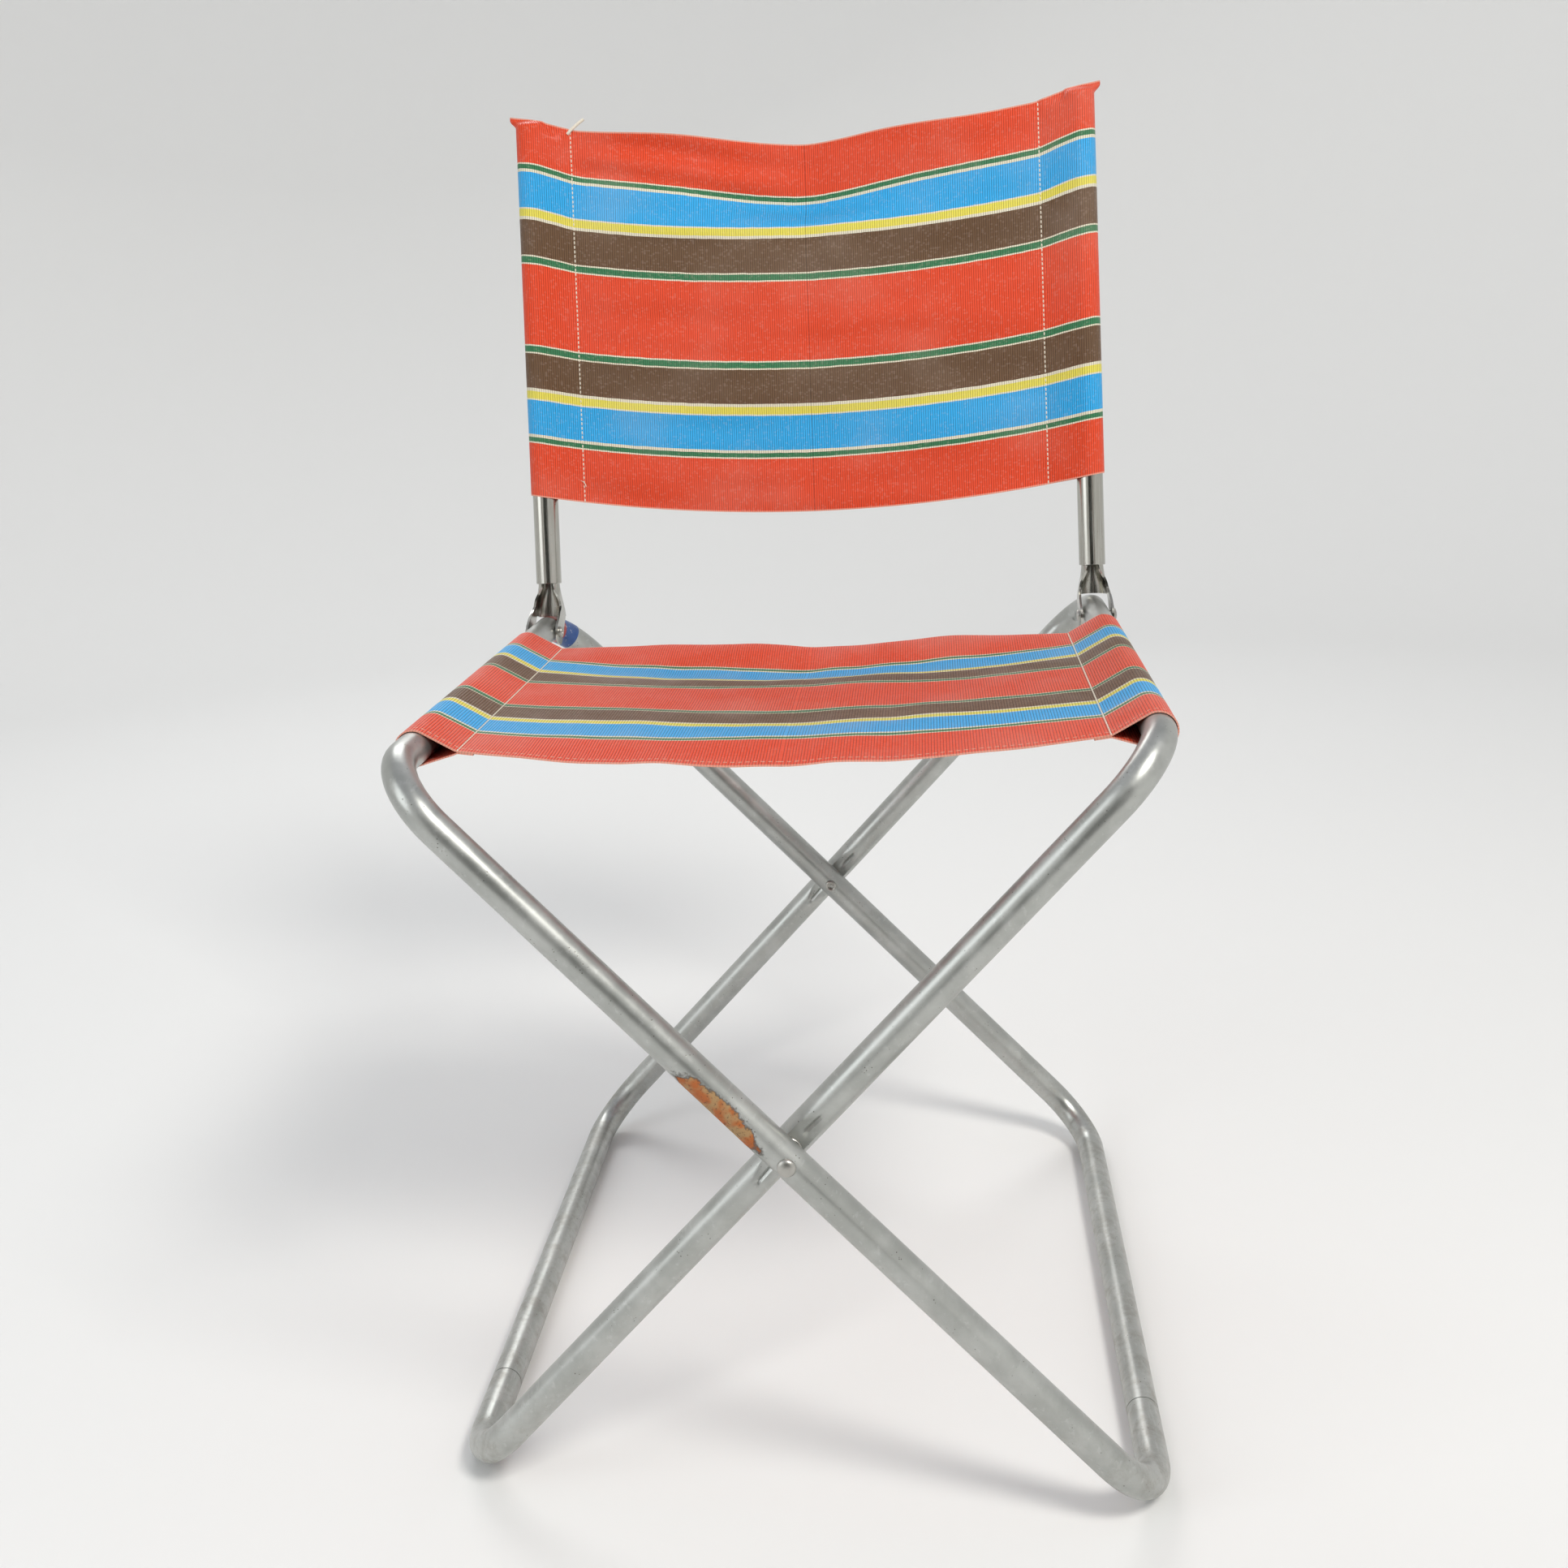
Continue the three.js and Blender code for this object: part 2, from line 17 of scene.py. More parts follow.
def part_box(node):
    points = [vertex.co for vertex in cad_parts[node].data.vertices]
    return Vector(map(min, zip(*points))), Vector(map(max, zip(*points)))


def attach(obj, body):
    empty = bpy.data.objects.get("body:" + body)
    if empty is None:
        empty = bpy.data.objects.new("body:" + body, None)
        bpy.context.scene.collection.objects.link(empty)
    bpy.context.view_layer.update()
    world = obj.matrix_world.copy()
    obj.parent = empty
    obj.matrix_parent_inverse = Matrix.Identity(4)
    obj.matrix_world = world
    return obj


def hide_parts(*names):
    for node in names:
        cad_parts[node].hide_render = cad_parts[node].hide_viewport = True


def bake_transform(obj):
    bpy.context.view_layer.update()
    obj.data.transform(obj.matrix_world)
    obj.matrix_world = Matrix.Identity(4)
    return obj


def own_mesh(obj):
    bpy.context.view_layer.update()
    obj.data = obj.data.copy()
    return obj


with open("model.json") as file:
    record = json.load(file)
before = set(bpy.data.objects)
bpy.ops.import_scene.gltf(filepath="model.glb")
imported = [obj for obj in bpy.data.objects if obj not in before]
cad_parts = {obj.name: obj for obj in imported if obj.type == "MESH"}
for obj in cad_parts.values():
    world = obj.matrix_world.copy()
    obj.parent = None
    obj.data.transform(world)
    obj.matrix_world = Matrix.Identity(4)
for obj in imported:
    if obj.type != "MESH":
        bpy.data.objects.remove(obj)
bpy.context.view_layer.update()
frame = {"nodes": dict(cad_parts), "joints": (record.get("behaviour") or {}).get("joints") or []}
SIDES = {"left": -1, "right": 1}


def joint_place(name):
    found = next(joint for joint in frame["joints"] if joint["name"] == name)
    return Vector(found["pos_m"])


# Sizes --------------------------------------------------------------------------------------------

PIVOT = joint_place("left_frame_fold")
HINGE = {name: joint_place(f"{name}_post_fold") for name in SIDES}
POST_LOW, POST_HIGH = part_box("left_post_tube")
TUBE_RADIUS = (POST_HIGH.x - POST_LOW.x) / 2
TUBE_WALL = 0.0012
HALF_SPAN = HINGE["right"].x
LEG_ANGLE = math.atan2(HALF_SPAN, HINGE["right"].z - PIVOT.z)
UPPER_LEG = math.hypot(HALF_SPAN, HINGE["right"].z - PIVOT.z)
LOWER_LEG = (PIVOT.z - TUBE_RADIUS) / math.cos(LEG_ANGLE)

BEND_RADIUS = 0.040
BUTT_FROM_FRONT = 0.085
BUTT_GAP = 0.0006
BUTT_LIP = 0.0005
TUBE_SIDES = 40
BEND_STEPS = 14
DIMPLE_DEPTH = 0.0022
DIMPLE_FLAT = 0.014
DIMPLE_HALF = 0.030

RIVET_RADIUS = 0.003
RIVET_HEAD = 0.0052
RIVET_HEAD_HEIGHT = 0.0026
RIVET_TAIL = 0.0042
RIVET_BORE = 0.0022
RIVET_TAIL_HEIGHT = 0.0016
RIVET_BEDDING = 0.0006          # how deep a head is drawn onto the round tube
WASHER_RADIUS = 0.007
WASHER_EDGE = 0.0003
LOOP_GAP = 0.0008
CLEARANCE = 0.0003

POST_LEAN = math.radians(8)
POST_SETBACK = 0.022
POST_START = 0.036
POST_END = 0.377
CLEVIS_WALL = 0.0016
CLEVIS_TOP = 0.056
CLEVIS_REST_GAP = 0.0013        # under the clevis at rest, which also clears the corner band
EAR_RADIUS = 0.0095
EAR_INSIDE = 0.01039
FLARE_START = 0.033
FLARE_END = 0.017

CLOTH = 0.0008
CLOTH_WIDTH = 0.285
LAYER_GAP = 0.00092             # between the middles of two layers sewn together
HEM = 0.009
CLOTH_RADIUS = TUBE_RADIUS + 0.0008     # middle of the cloth's thickness, round a tube
SEAT_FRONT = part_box("left_seat_pocket")[0].y
SEAT_SEAM = 0.025
SEAT_SAG = 0.010
BACK_START = 0.0985
BACK_SEAM = 0.030
BACK_BELLY = 0.008
RIB_PITCH = 0.00167

# Shades in linear light, as the shaders take them.
RED = (0.780, 0.062, 0.012)
BLUE = (0.024, 0.400, 0.820)
YELLOW = (0.780, 0.700, 0.090)
BROWN = (0.135, 0.070, 0.030)
GREEN = (0.030, 0.190, 0.075)
CREAM = (0.760, 0.720, 0.560)

# Half of the cloth's stripes, from the selvedge to the middle, in millimetres.
HALF_STRIPES = [
    (RED, 39.0), (CREAM, 2.0), (GREEN, 3.2), (CREAM, 2.2), (BLUE, 25.0), (CREAM, 1.6),
    (YELLOW, 6.0), (CREAM, 1.4), (BROWN, 25.6), (CREAM, 1.8), (GREEN, 3.6), (CREAM, 1.8),
]

scene = bpy.context.scene


# Shader helpers -----------------------------------------------------------------------------------

def add_node(tree, kind, settings=None, **inputs):
    """A node whose settings are attributes and whose inputs are values or sockets to link from."""
    node = tree.nodes.new(kind)
    for key, value in (settings or {}).items():
        setattr(node, key, value)
    for key, value in inputs.items():
        socket = node.inputs[int(key[1:])] if key[0] == "i" and key[1:].isdigit() else node.inputs[key]
        if isinstance(value, bpy.types.NodeSocket):
            tree.links.new(value, socket)
        else:
            socket.default_value = value
    return node


def maths(tree, operation, *values):
    inputs = {f"i{i}": value for i, value in enumerate(values)}
    return add_node(tree, "ShaderNodeMath", {"operation": operation}, **inputs).outputs[0]


def ramp(tree, factor, start, end, low=0.0, high=1.0):
    """A value that runs smoothly from low to high while factor runs from start to end."""
    node = add_node(tree, "ShaderNodeMapRange", {"interpolation_type": "SMOOTHSTEP"}, Value=factor)
    for key, value in (("From Min", start), ("From Max", end), ("To Min", low), ("To Max", high)):
        node.inputs[key].default_value = value
    return node.outputs[0]


def mixed(tree, factor, first, second, blend="MIX"):
    node = tree.nodes.new("ShaderNodeMix")
    node.data_type = "RGBA"
    node.blend_type = blend
    for index, value in ((0, factor), (6, first), (7, second)):
        if isinstance(value, bpy.types.NodeSocket):
            tree.links.new(value, node.inputs[index])
        elif index == 0:
            node.inputs[index].default_value = value
        else:
            node.inputs[index].default_value = (*value, 1.0)
    return node.outputs[2]


def noise_at(tree, place, scale, detail=3.0, roughness=0.5):
    node = add_node(tree, "ShaderNodeTexNoise", Vector=place, Scale=scale, Detail=detail)
    node.inputs["Roughness"].default_value = roughness
    return node.outputs["Fac"]


def stretched(tree, place, scale, turn=(0.0, 0.0, 0.0), shift=(0.0, 0.0, 0.0)):
    node = add_node(tree, "ShaderNodeMapping", Vector=place)
    node.inputs["Location"].default_value = shift
    node.inputs["Rotation"].default_value = turn
    node.inputs["Scale"].default_value = scale
    return node.outputs[0]


def new_group(name, inputs, outputs):
    """An empty node group with its sockets; returns the tree and its input and output nodes."""
    tree = bpy.data.node_groups.new(name, "ShaderNodeTree")
    for socket, kind, default in inputs:
        made = tree.interface.new_socket(socket, in_out="INPUT", socket_type=kind)
        if default is not None:
            made.default_value = default
    for socket, kind in outputs:
        tree.interface.new_socket(socket, in_out="OUTPUT", socket_type=kind)
    return tree, tree.nodes.new("NodeGroupInput"), tree.nodes.new("NodeGroupOutput")


def use_group(tree, group, **inputs):
    node = tree.nodes.new("ShaderNodeGroup")
    node.node_tree = group
    for key, value in inputs.items():
        socket = node.inputs[key.replace("_", " ")]
        if isinstance(value, bpy.types.NodeSocket):
            tree.links.new(value, socket)
        else:
            socket.default_value = value
    return node.outputs


def new_material(name, **constants):
    """A material with its Principled shader; returns the material, its tree and the shader."""
    material = bpy.data.materials.new(name)
    material.use_nodes = True
    tree = material.node_tree
    shader = tree.nodes["Principled BSDF"]
    for key, value in constants.items():
        shader.inputs[key.replace("_", " ")].default_value = value
    return material, tree, shader


def object_place(tree):
    return tree.nodes.new("ShaderNodeTexCoord").outputs["Object"]


def bump(tree, shader, height, strength, distance):
    node = add_node(tree, "ShaderNodeBump", Strength=strength, Distance=distance, Height=height)
    tree.links.new(node.outputs[0], shader.inputs["Normal"])


# Shared effects -----------------------------------------------------------------------------------

def worn_metal_group():
    """Small pits, fine scratches, cloudy handling marks and grime towards the ground."""
    tree, given, result = new_group(
        "worn metal",
        [("Place", "NodeSocketVector", None), ("Grain", "NodeSocketVector", None),
         ("Pit Size", "NodeSocketFloat", 420.0), ("Grime", "NodeSocketFloat", 0.5)],
        [("Cloud", "NodeSocketFloat"), ("Pits", "NodeSocketFloat"),
         ("Scratches", "NodeSocketFloat"), ("Grime", "NodeSocketFloat")],
    )
    place = given.outputs["Place"]
    cloud = noise_at(tree, place, 38.0, 4.0, 0.62)
    pit_cells = add_node(tree, "ShaderNodeTexVoronoi", Vector=place, Scale=given.outputs["Pit Size"])
    pit_mask = maths(tree, "MULTIPLY", ramp(tree, pit_cells.outputs["Distance"], 0.22, 0.05),
                     ramp(tree, noise_at(tree, place, 120.0, 2.0), 0.56, 0.64))
    scratches = ramp(tree, noise_at(tree, given.outputs["Grain"], 260.0, 2.0, 0.7), 0.60, 0.70)
    height = add_node(tree, "ShaderNodeSeparateXYZ", Vector=place).outputs["Z"]
    low = ramp(tree, height, 0.10, 0.0)
    dirt = maths(tree, "MULTIPLY", low, ramp(tree, noise_at(tree, place, 75.0, 5.0, 0.7), 0.42, 0.70))
    tree.links.new(cloud, result.inputs["Cloud"])
    tree.links.new(pit_mask, result.inputs["Pits"])
    tree.links.new(scratches, result.inputs["Scratches"])
    tree.links.new(maths(tree, "MULTIPLY", dirt, given.outputs["Grime"]), result.inputs["Grime"])
    return tree


def rib_group():
    """Ribs that cross the cloth from selvedge to selvedge, with the finer weft between them."""
    tree, given, result = new_group(
        "ribbed weave",
        [("Along", "NodeSocketFloat", 0.0), ("Across", "NodeSocketFloat", 0.0),
         ("Rib Pitch", "NodeSocketFloat", RIB_PITCH), ("Weft Pitch", "NodeSocketFloat", 0.0007)],
        [("Height", "NodeSocketFloat"), ("Shaded Groove", "NodeSocketFloat"), ("Glint", "NodeSocketFloat")],
    )
    rib_turn = maths(tree, "DIVIDE", given.outputs["Along"], given.outputs["Rib Pitch"])
    weft_turn = maths(tree, "DIVIDE", given.outputs["Across"], given.outputs["Weft Pitch"])
    rib = maths(tree, "ABSOLUTE", maths(tree, "SINE", maths(tree, "MULTIPLY", rib_turn, math.pi)))
    offset = maths(tree, "ADD", weft_turn, maths(tree, "MULTIPLY", maths(tree, "FLOOR", rib_turn), 0.5))
    weft = maths(tree, "ABSOLUTE", maths(tree, "SINE", maths(tree, "MULTIPLY", offset, math.pi)))
    height = maths(tree, "ADD", rib, maths(tree, "MULTIPLY", weft, 0.28))
    cell = add_node(tree, "ShaderNodeCombineXYZ", X=maths(tree, "FLOOR", rib_turn),
                    Y=maths(tree, "FLOOR", maths(tree, "MULTIPLY", weft_turn, 0.6)))
    # Glint picks rib cells at random for painted glints in the base colour, and for a little more roughness.
    glint = add_node(tree, "ShaderNodeTexWhiteNoise", {"noise_dimensions": "2D"}, Vector=cell.outputs[0])
    tree.links.new(height, result.inputs["Height"])
    # This groove mask carries the painted shade between the ribs, and a little more roughness there.
    tree.links.new(ramp(tree, rib, 0.0, 0.55, 1.0, 0.0), result.inputs["Shaded Groove"])
    tree.links.new(glint.outputs["Value"], result.inputs["Glint"])
    return tree


WORN_METAL = worn_metal_group()
RIBS = rib_group()


# Materials ----------------------------------------------------------------------------------------

def rust_mask(tree, place):
    """Where the paint has let go: one patch on the front leg of the left loop, above the rivet."""
    towards_patch = Vector((-math.sin(LEG_ANGLE), 0.0, math.cos(LEG_ANGLE)))
    centre = Vector((PIVOT.x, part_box("left_frame_tube")[0].y + 0.004, PIVOT.z)) + 0.047 * towards_patch
    centre += Vector((-0.0030, 0.0, -0.0030))
    moved = add_node(tree, "ShaderNodeVectorMath", {"operation": "SUBTRACT"}, i0=place, i1=tuple(centre))
    local = stretched(tree, moved.outputs[0], (1.0, 1.0, 1.0), (0.0, LEG_ANGLE, 0.0))
    parts = add_node(tree, "ShaderNodeSeparateXYZ", Vector=local)
    long_share = maths(tree, "POWER", maths(tree, "DIVIDE", parts.outputs["Z"], 0.031), 2.0)
    wide_share = maths(tree, "POWER", maths(tree, "DIVIDE", parts.outputs["X"], 0.0080), 2.0)
    deep_share = maths(tree, "POWER", maths(tree, "DIVIDE", parts.outputs["Y"], 0.0130), 2.0)
    spread = maths(tree, "ADD", maths(tree, "ADD", long_share, wide_share), deep_share)
    ragged = maths(tree, "ADD", spread, maths(tree, "MULTIPLY", noise_at(tree, place, 210.0, 4.0, 0.65), 1.5))
    return ramp(tree, ragged, 1.75, 1.55), ramp(tree, ragged, 2.05, 1.60)


def frame_paint():
    material, tree, shader = new_material("satin silver paint")
    place = object_place(tree)
    worn = use_group(tree, WORN_METAL, Place=place, Pit_Size=460.0, Grime=0.35,
                     Grain=stretched(tree, place, (1.0, 0.15, 1.0)))
    paint = mixed(tree, ramp(tree, worn["Cloud"], 0.35, 0.70), (0.40, 0.41, 0.39), (0.50, 0.51, 0.49))
    paint = mixed(tree, maths(tree, "MULTIPLY", worn["Scratches"], 0.22), paint, (0.66, 0.67, 0.66))
    paint = mixed(tree, worn["Pits"], paint, (0.085, 0.070, 0.055))
    paint = mixed(tree, worn["Grime"], paint, (0.150, 0.115, 0.075))
    bare, edge = rust_mask(tree, place)
    rust = mixed(tree, ramp(tree, noise_at(tree, place, 95.0, 3.0), 0.40, 0.60),
                 (0.400, 0.110, 0.022), (0.360, 0.220, 0.095))
    dark_pits = ramp(tree, noise_at(tree, place, 620.0, 4.0, 0.7), 0.52, 0.72)
    rust = mixed(tree, dark_pits, rust, (0.080, 0.035, 0.018))
    paint = mixed(tree, edge, paint, (0.045, 0.032, 0.024))
    paint = mixed(tree, bare, paint, rust)
    tree.links.new(paint, shader.inputs["Base Color"])
    rough = maths(tree, "ADD", ramp(tree, worn["Cloud"], 0.3, 0.75, 0.30, 0.42),
                  maths(tree, "MULTIPLY", worn["Grime"], 0.3))
    rough = maths(tree, "ADD", rough, maths(tree, "MULTIPLY", edge, 0.35))
    tree.links.new(rough, shader.inputs["Roughness"])
    metal = maths(tree, "MULTIPLY", maths(tree, "SUBTRACT", 1.0, edge), 0.82)
    tree.links.new(metal, shader.inputs["Metallic"])
    grain = maths(tree, "MULTIPLY", noise_at(tree, place, 900.0, 2.0), 0.10)
    height = maths(tree, "SUBTRACT", grain, worn["Pits"])
    height = maths(tree, "SUBTRACT", height, maths(tree, "MULTIPLY", bare, 1.6))
    bump(tree, shader, height, 0.35, 0.0002)
    return material


def post_steel():
    material, tree, shader = new_material("bright steel tube", Metallic=1.0)
    place = object_place(tree)
    drawn = stretched(tree, place, (1.0, 0.05, 0.02), (-POST_LEAN, 0.0, 0.0))
    worn = use_group(tree, WORN_METAL, Place=place, Pit_Size=520.0, Grime=0.0, Grain=drawn)
    streak = noise_at(tree, drawn, 900.0, 3.0, 0.6)
    steel = mixed(tree, ramp(tree, streak, 0.30, 0.72), (0.40, 0.39, 0.35), (0.55, 0.54, 0.50))
    steel = mixed(tree, worn["Pits"], steel, (0.10, 0.08, 0.06))
    across = maths(tree, "ABSOLUTE", add_node(tree, "ShaderNodeSeparateXYZ", Vector=place).outputs["X"])
    off_seam = maths(tree, "ABSOLUTE", maths(tree, "SUBTRACT", across, HALF_SPAN + 0.0008))
    seam = ramp(tree, off_seam, 0.0005, 0.0002)
    steel = mixed(tree, maths(tree, "MULTIPLY", seam, 0.6), steel, (0.16, 0.13, 0.11))
    tree.links.new(steel, shader.inputs["Base Color"])
    rough = maths(tree, "ADD", ramp(tree, streak, 0.3, 0.7, 0.17, 0.26), maths(tree, "MULTIPLY", seam, 0.25))
    tree.links.new(rough, shader.inputs["Roughness"])
    sunk = maths(tree, "ADD", worn["Pits"], seam)
    height = maths(tree, "SUBTRACT", maths(tree, "MULTIPLY", streak, 0.2), sunk)
    bump(tree, shader, height, 0.3, 0.00015)
    return material


def rivet_steel():
    material, tree, shader = new_material("dull plated steel", Metallic=0.95)
    place = object_place(tree)
    worn = use_group(tree, WORN_METAL, Place=place, Pit_Size=900.0, Grime=0.3, Grain=place)
    metal = mixed(tree, ramp(tree, worn["Cloud"], 0.3, 0.7), (0.36, 0.35, 0.32), (0.50, 0.49, 0.46))
    metal = mixed(tree, worn["Pits"], metal, (0.10, 0.07, 0.05))
    tree.links.new(metal, shader.inputs["Base Color"])
    tree.links.new(ramp(tree, worn["Cloud"], 0.3, 0.75, 0.28, 0.44), shader.inputs["Roughness"])
    bump(tree, shader, noise_at(tree, place, 1500.0, 2.0), 0.2, 0.0001)
    return material


def stripe_bands(tree, across):
    """The cloth's stripes, mirrored about its middle, as a ramp over its width."""
    total = CLOTH_WIDTH * 1000
    middle = total - 2 * sum(width for _, width in HALF_STRIPES)
    bands = HALF_STRIPES + [(RED, middle)] + HALF_STRIPES[::-1]
    node = tree.nodes.new("ShaderNodeValToRGB")
    node.color_ramp.interpolation = "CONSTANT"
    points = node.color_ramp.elements
    points.remove(points[1])
    start = 0.0
    for index, (shade, width) in enumerate(bands):
        point = points[0] if index == 0 else points.new(start / total)
        point.color = (*shade, 1.0)
        start += width
    tree.links.new(maths(tree, "DIVIDE", across, CLOTH_WIDTH), node.inputs["Fac"])
    return node.outputs["Color"]


def striped_cloth(name, hemmed):
    """The ribbed cloth; the seat's has a hem stitched along its front edge."""
    material, tree, shader = new_material(
        name, Sheen_Weight=0.08, Sheen_Roughness=0.4, Specular_IOR_Level=0.34, Coat_Roughness=0.30)
    along, across = add_node(
        tree, "ShaderNodeSeparateXYZ", Vector=tree.nodes.new("ShaderNodeUVMap").outputs[0]).outputs[:2]
    place = object_place(tree)
    wander = maths(tree, "MULTIPLY", maths(tree, "SUBTRACT", noise_at(tree, place, 90.0, 2.0), 0.5), 0.0009)
    ribs = use_group(tree, RIBS, Along=along, Across=across)
    shade = stripe_bands(tree, maths(tree, "ADD", across, wander))
    # Painted shade: the grooves between the ribs are darkened in the base colour.
    dark = mixed(tree, 1.0, shade, (0.30, 0.24, 0.24), "MULTIPLY")
    shade = mixed(tree, maths(tree, "MULTIPLY", ribs["Shaded Groove"], 0.9), shade, dark)
    # Painted highlight: single rib cells are lightened at random as glints in the base colour.
    pale = mixed(tree, 0.25, shade, (0.90, 0.72, 0.62))
    shade = mixed(tree, ramp(tree, ribs["Glint"], 0.75, 1.0, 0.0, 0.28), shade, pale)
    fading = ramp(tree, noise_at(tree, place, 16.0, 3.0), 0.45, 0.80, 0.0, 0.08)
    faded = mixed(tree, fading, shade, (0.72, 0.60, 0.50))
    from_edge = maths(tree, "MINIMUM", across, maths(tree, "SUBTRACT", CLOTH_WIDTH, across))
    shade = mixed(tree, ramp(tree, from_edge, 0.0014, 0.0006, 0.0, 0.55), faded, (0.78, 0.52, 0.40))
    if hemmed:
        off_line = maths(tree, "ABSOLUTE", maths(tree, "SUBTRACT", across, 0.0065))
        beat = maths(tree, "FRACT", maths(tree, "DIVIDE", along, 0.0042))
        dash = maths(tree, "MULTIPLY", ramp(tree, off_line, 0.0005, 0.0003), ramp(tree, beat, 0.60, 0.52))
        shade = mixed(tree, maths(tree, "MULTIPLY", dash, 0.6), shade, CREAM)
    tree.links.new(shade, shader.inputs["Base Color"])
    rough = maths(tree, "ADD", ramp(tree, ribs["Glint"], 0.0, 1.0, 0.40, 0.52),
                  maths(tree, "MULTIPLY", ribs["Shaded Groove"], 0.25))
    tree.links.new(rough, shader.inputs["Roughness"])
    gloss = ramp(tree, noise_at(tree, place, 22.0, 3.0), 0.42, 0.70, 0.0, 0.25)
    tree.links.new(gloss, shader.inputs["Coat Weight"])
    bump(tree, shader, ribs["Height"], 0.7, 0.00045)
    return material


def thread():
    material, tree, shader = new_material("cream thread", Roughness=0.75, Sheen_Weight=0.3)
    place = object_place(tree)
    shade = mixed(tree, noise_at(tree, place, 700.0, 2.0), (0.55, 0.49, 0.38), (0.86, 0.82, 0.70))
    tree.links.new(shade, shader.inputs["Base Color"])
    bump(tree, shader, noise_at(tree, stretched(tree, place, (1.0, 1.0, 0.3)), 2600.0, 1.0), 0.5, 0.0001)
    return material


def cap_plastic():
    material, tree, shader = new_material("dark moulded plastic", Roughness=0.55)
    place = object_place(tree)
    shade = mixed(tree, noise_at(tree, place, 300.0, 3.0), (0.018, 0.018, 0.020), (0.045, 0.045, 0.048))
    tree.links.new(shade, shader.inputs["Base Color"])
    bump(tree, shader, noise_at(tree, place, 1800.0, 2.0), 0.25, 0.0001)
    return material


def band_film():
    """A worn blue film with a narrow red end, plain and without any mark."""
    material, tree, shader = new_material("worn blue film", Roughness=0.35)
    place = object_place(tree)
    around = tree.nodes.new("ShaderNodeUVMap").outputs[0]
    along = add_node(tree, "ShaderNodeSeparateXYZ", Vector=around).outputs["X"]
    blue = mixed(tree, noise_at(tree, place, 260.0, 4.0), (0.012, 0.040, 0.150), (0.030, 0.090, 0.280))
    shade = mixed(tree, ramp(tree, along, 0.46, 0.43), blue, (0.300, 0.030, 0.022))
    scuffed = ramp(tree, noise_at(tree, place, 420.0, 4.0, 0.7), 0.60, 0.68)
    shade = mixed(tree, scuffed, shade, (0.46, 0.47, 0.46))
    tree.links.new(shade, shader.inputs["Base Color"])
    bump(tree, shader, scuffed, 0.3, 0.0001)
    return material


PAINT = frame_paint()
STEEL = post_steel()
PLATED = rivet_steel()
SEAT_STRIPES = striped_cloth("striped seat cloth", True)
BACK_STRIPES = striped_cloth("striped back cloth", False)
THREAD = thread()
CAP = cap_plastic()
FILM = band_film()


# Mesh helpers -------------------------------------------------------------------------------------

def to_piece(bm, name, material, sharp_degrees=35.0):
    """An object from a finished bmesh, shaded smooth up to an angle and sharp at open rims."""
    mesh = bpy.data.meshes.new(name)
    bm.to_mesh(mesh)
    rims = [edge.is_boundary for edge in bm.edges]
    bm.free()
    mesh.materials.append(material)
    mesh.shade_smooth()
    mesh.set_sharp_from_angle(angle=math.radians(sharp_degrees))
    for edge, on_rim in zip(mesh.edges, rims):
        if on_rim:
            edge.use_edge_sharp = True
    piece = bpy.data.objects.new(name, mesh)
    scene.collection.objects.link(piece)
    return piece


def lengthen(bm, ring, move, steps=1):
    """Extrudes a ring of edges along a straight move and returns the last ring."""
    for _ in range(steps):
        grown = bmesh.ops.extrude_edge_only(bm, edges=ring)["geom"]
        verts = {part for part in grown if isinstance(part, bmesh.types.BMVert)}
        edges = [part for part in grown if isinstance(part, bmesh.types.BMEdge)]
        ring = [edge for edge in edges if verts.issuperset(edge.verts)]
        bmesh.ops.translate(bm, verts=list(verts), vec=Vector(move) / steps)
    return ring


def bend_ring(bm, ring, centre, angle, steps):
    """Carries a ring of edges round the x axis through a centre and returns the last ring."""
    turned = bmesh.ops.spin(bm, geom=ring, cent=centre, axis=(1.0, 0.0, 0.0), angle=angle, steps=steps)
    return [part for part in turned["geom_last"] if isinstance(part, bmesh.types.BMEdge)]


def turn_profile(profile, matrix, closed=False, steps=48):
    """A turned piece: a profile of (radius, height) points spun round z, then put in place."""
    bm = bmesh.new()
    verts = [bm.verts.new((radius, 0.0, height)) for radius, height in profile]
    ends = verts[1:] + ([verts[0]] if closed else [])
    edges = [bm.edges.new(pair) for pair in zip(verts, ends)]
    bmesh.ops.spin(bm, geom=verts + edges, cent=(0, 0, 0), axis=(0, 0, 1), angle=2 * math.pi,
                   steps=steps, use_merge=True)
    bmesh.ops.remove_doubles(bm, verts=bm.verts, dist=1e-6)
    bmesh.ops.recalc_face_normals(bm, faces=bm.faces)
    bmesh.ops.transform(bm, matrix=matrix, verts=bm.verts)
    return bm


def smoothstep(value, start, end):
    share = min(1.0, max(0.0, (value - start) / (end - start)))
    return share * share * (3.0 - 2.0 * share)


def arc(radius, centre, start, end, steps):
    """Points (radius, height) along a round stretch of a profile, angles in radians."""
    angles = [start + (end - start) * i / steps for i in range(steps + 1)]
    return [(centre[0] + radius * math.cos(a), centre[1] + radius * math.sin(a)) for a in angles]


# Tube loops ---------------------------------------------------------------------------------------
# In a loop's own frame the crossing is at z = 0, the legs run along z and the rails along y.

def loop_matrix(name, side):
    low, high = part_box(f"{name}_frame_tube")
    place = Vector((0.0, (low.y + high.y) / 2, PIVOT.z))
    return Matrix.Translation(place) @ Matrix.Rotation(side * LEG_ANGLE, 4, "Y")


def loop_half_depth(name):
    low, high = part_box(f"{name}_frame_tube")
    return (high.y - low.y) / 2 - TUBE_RADIUS


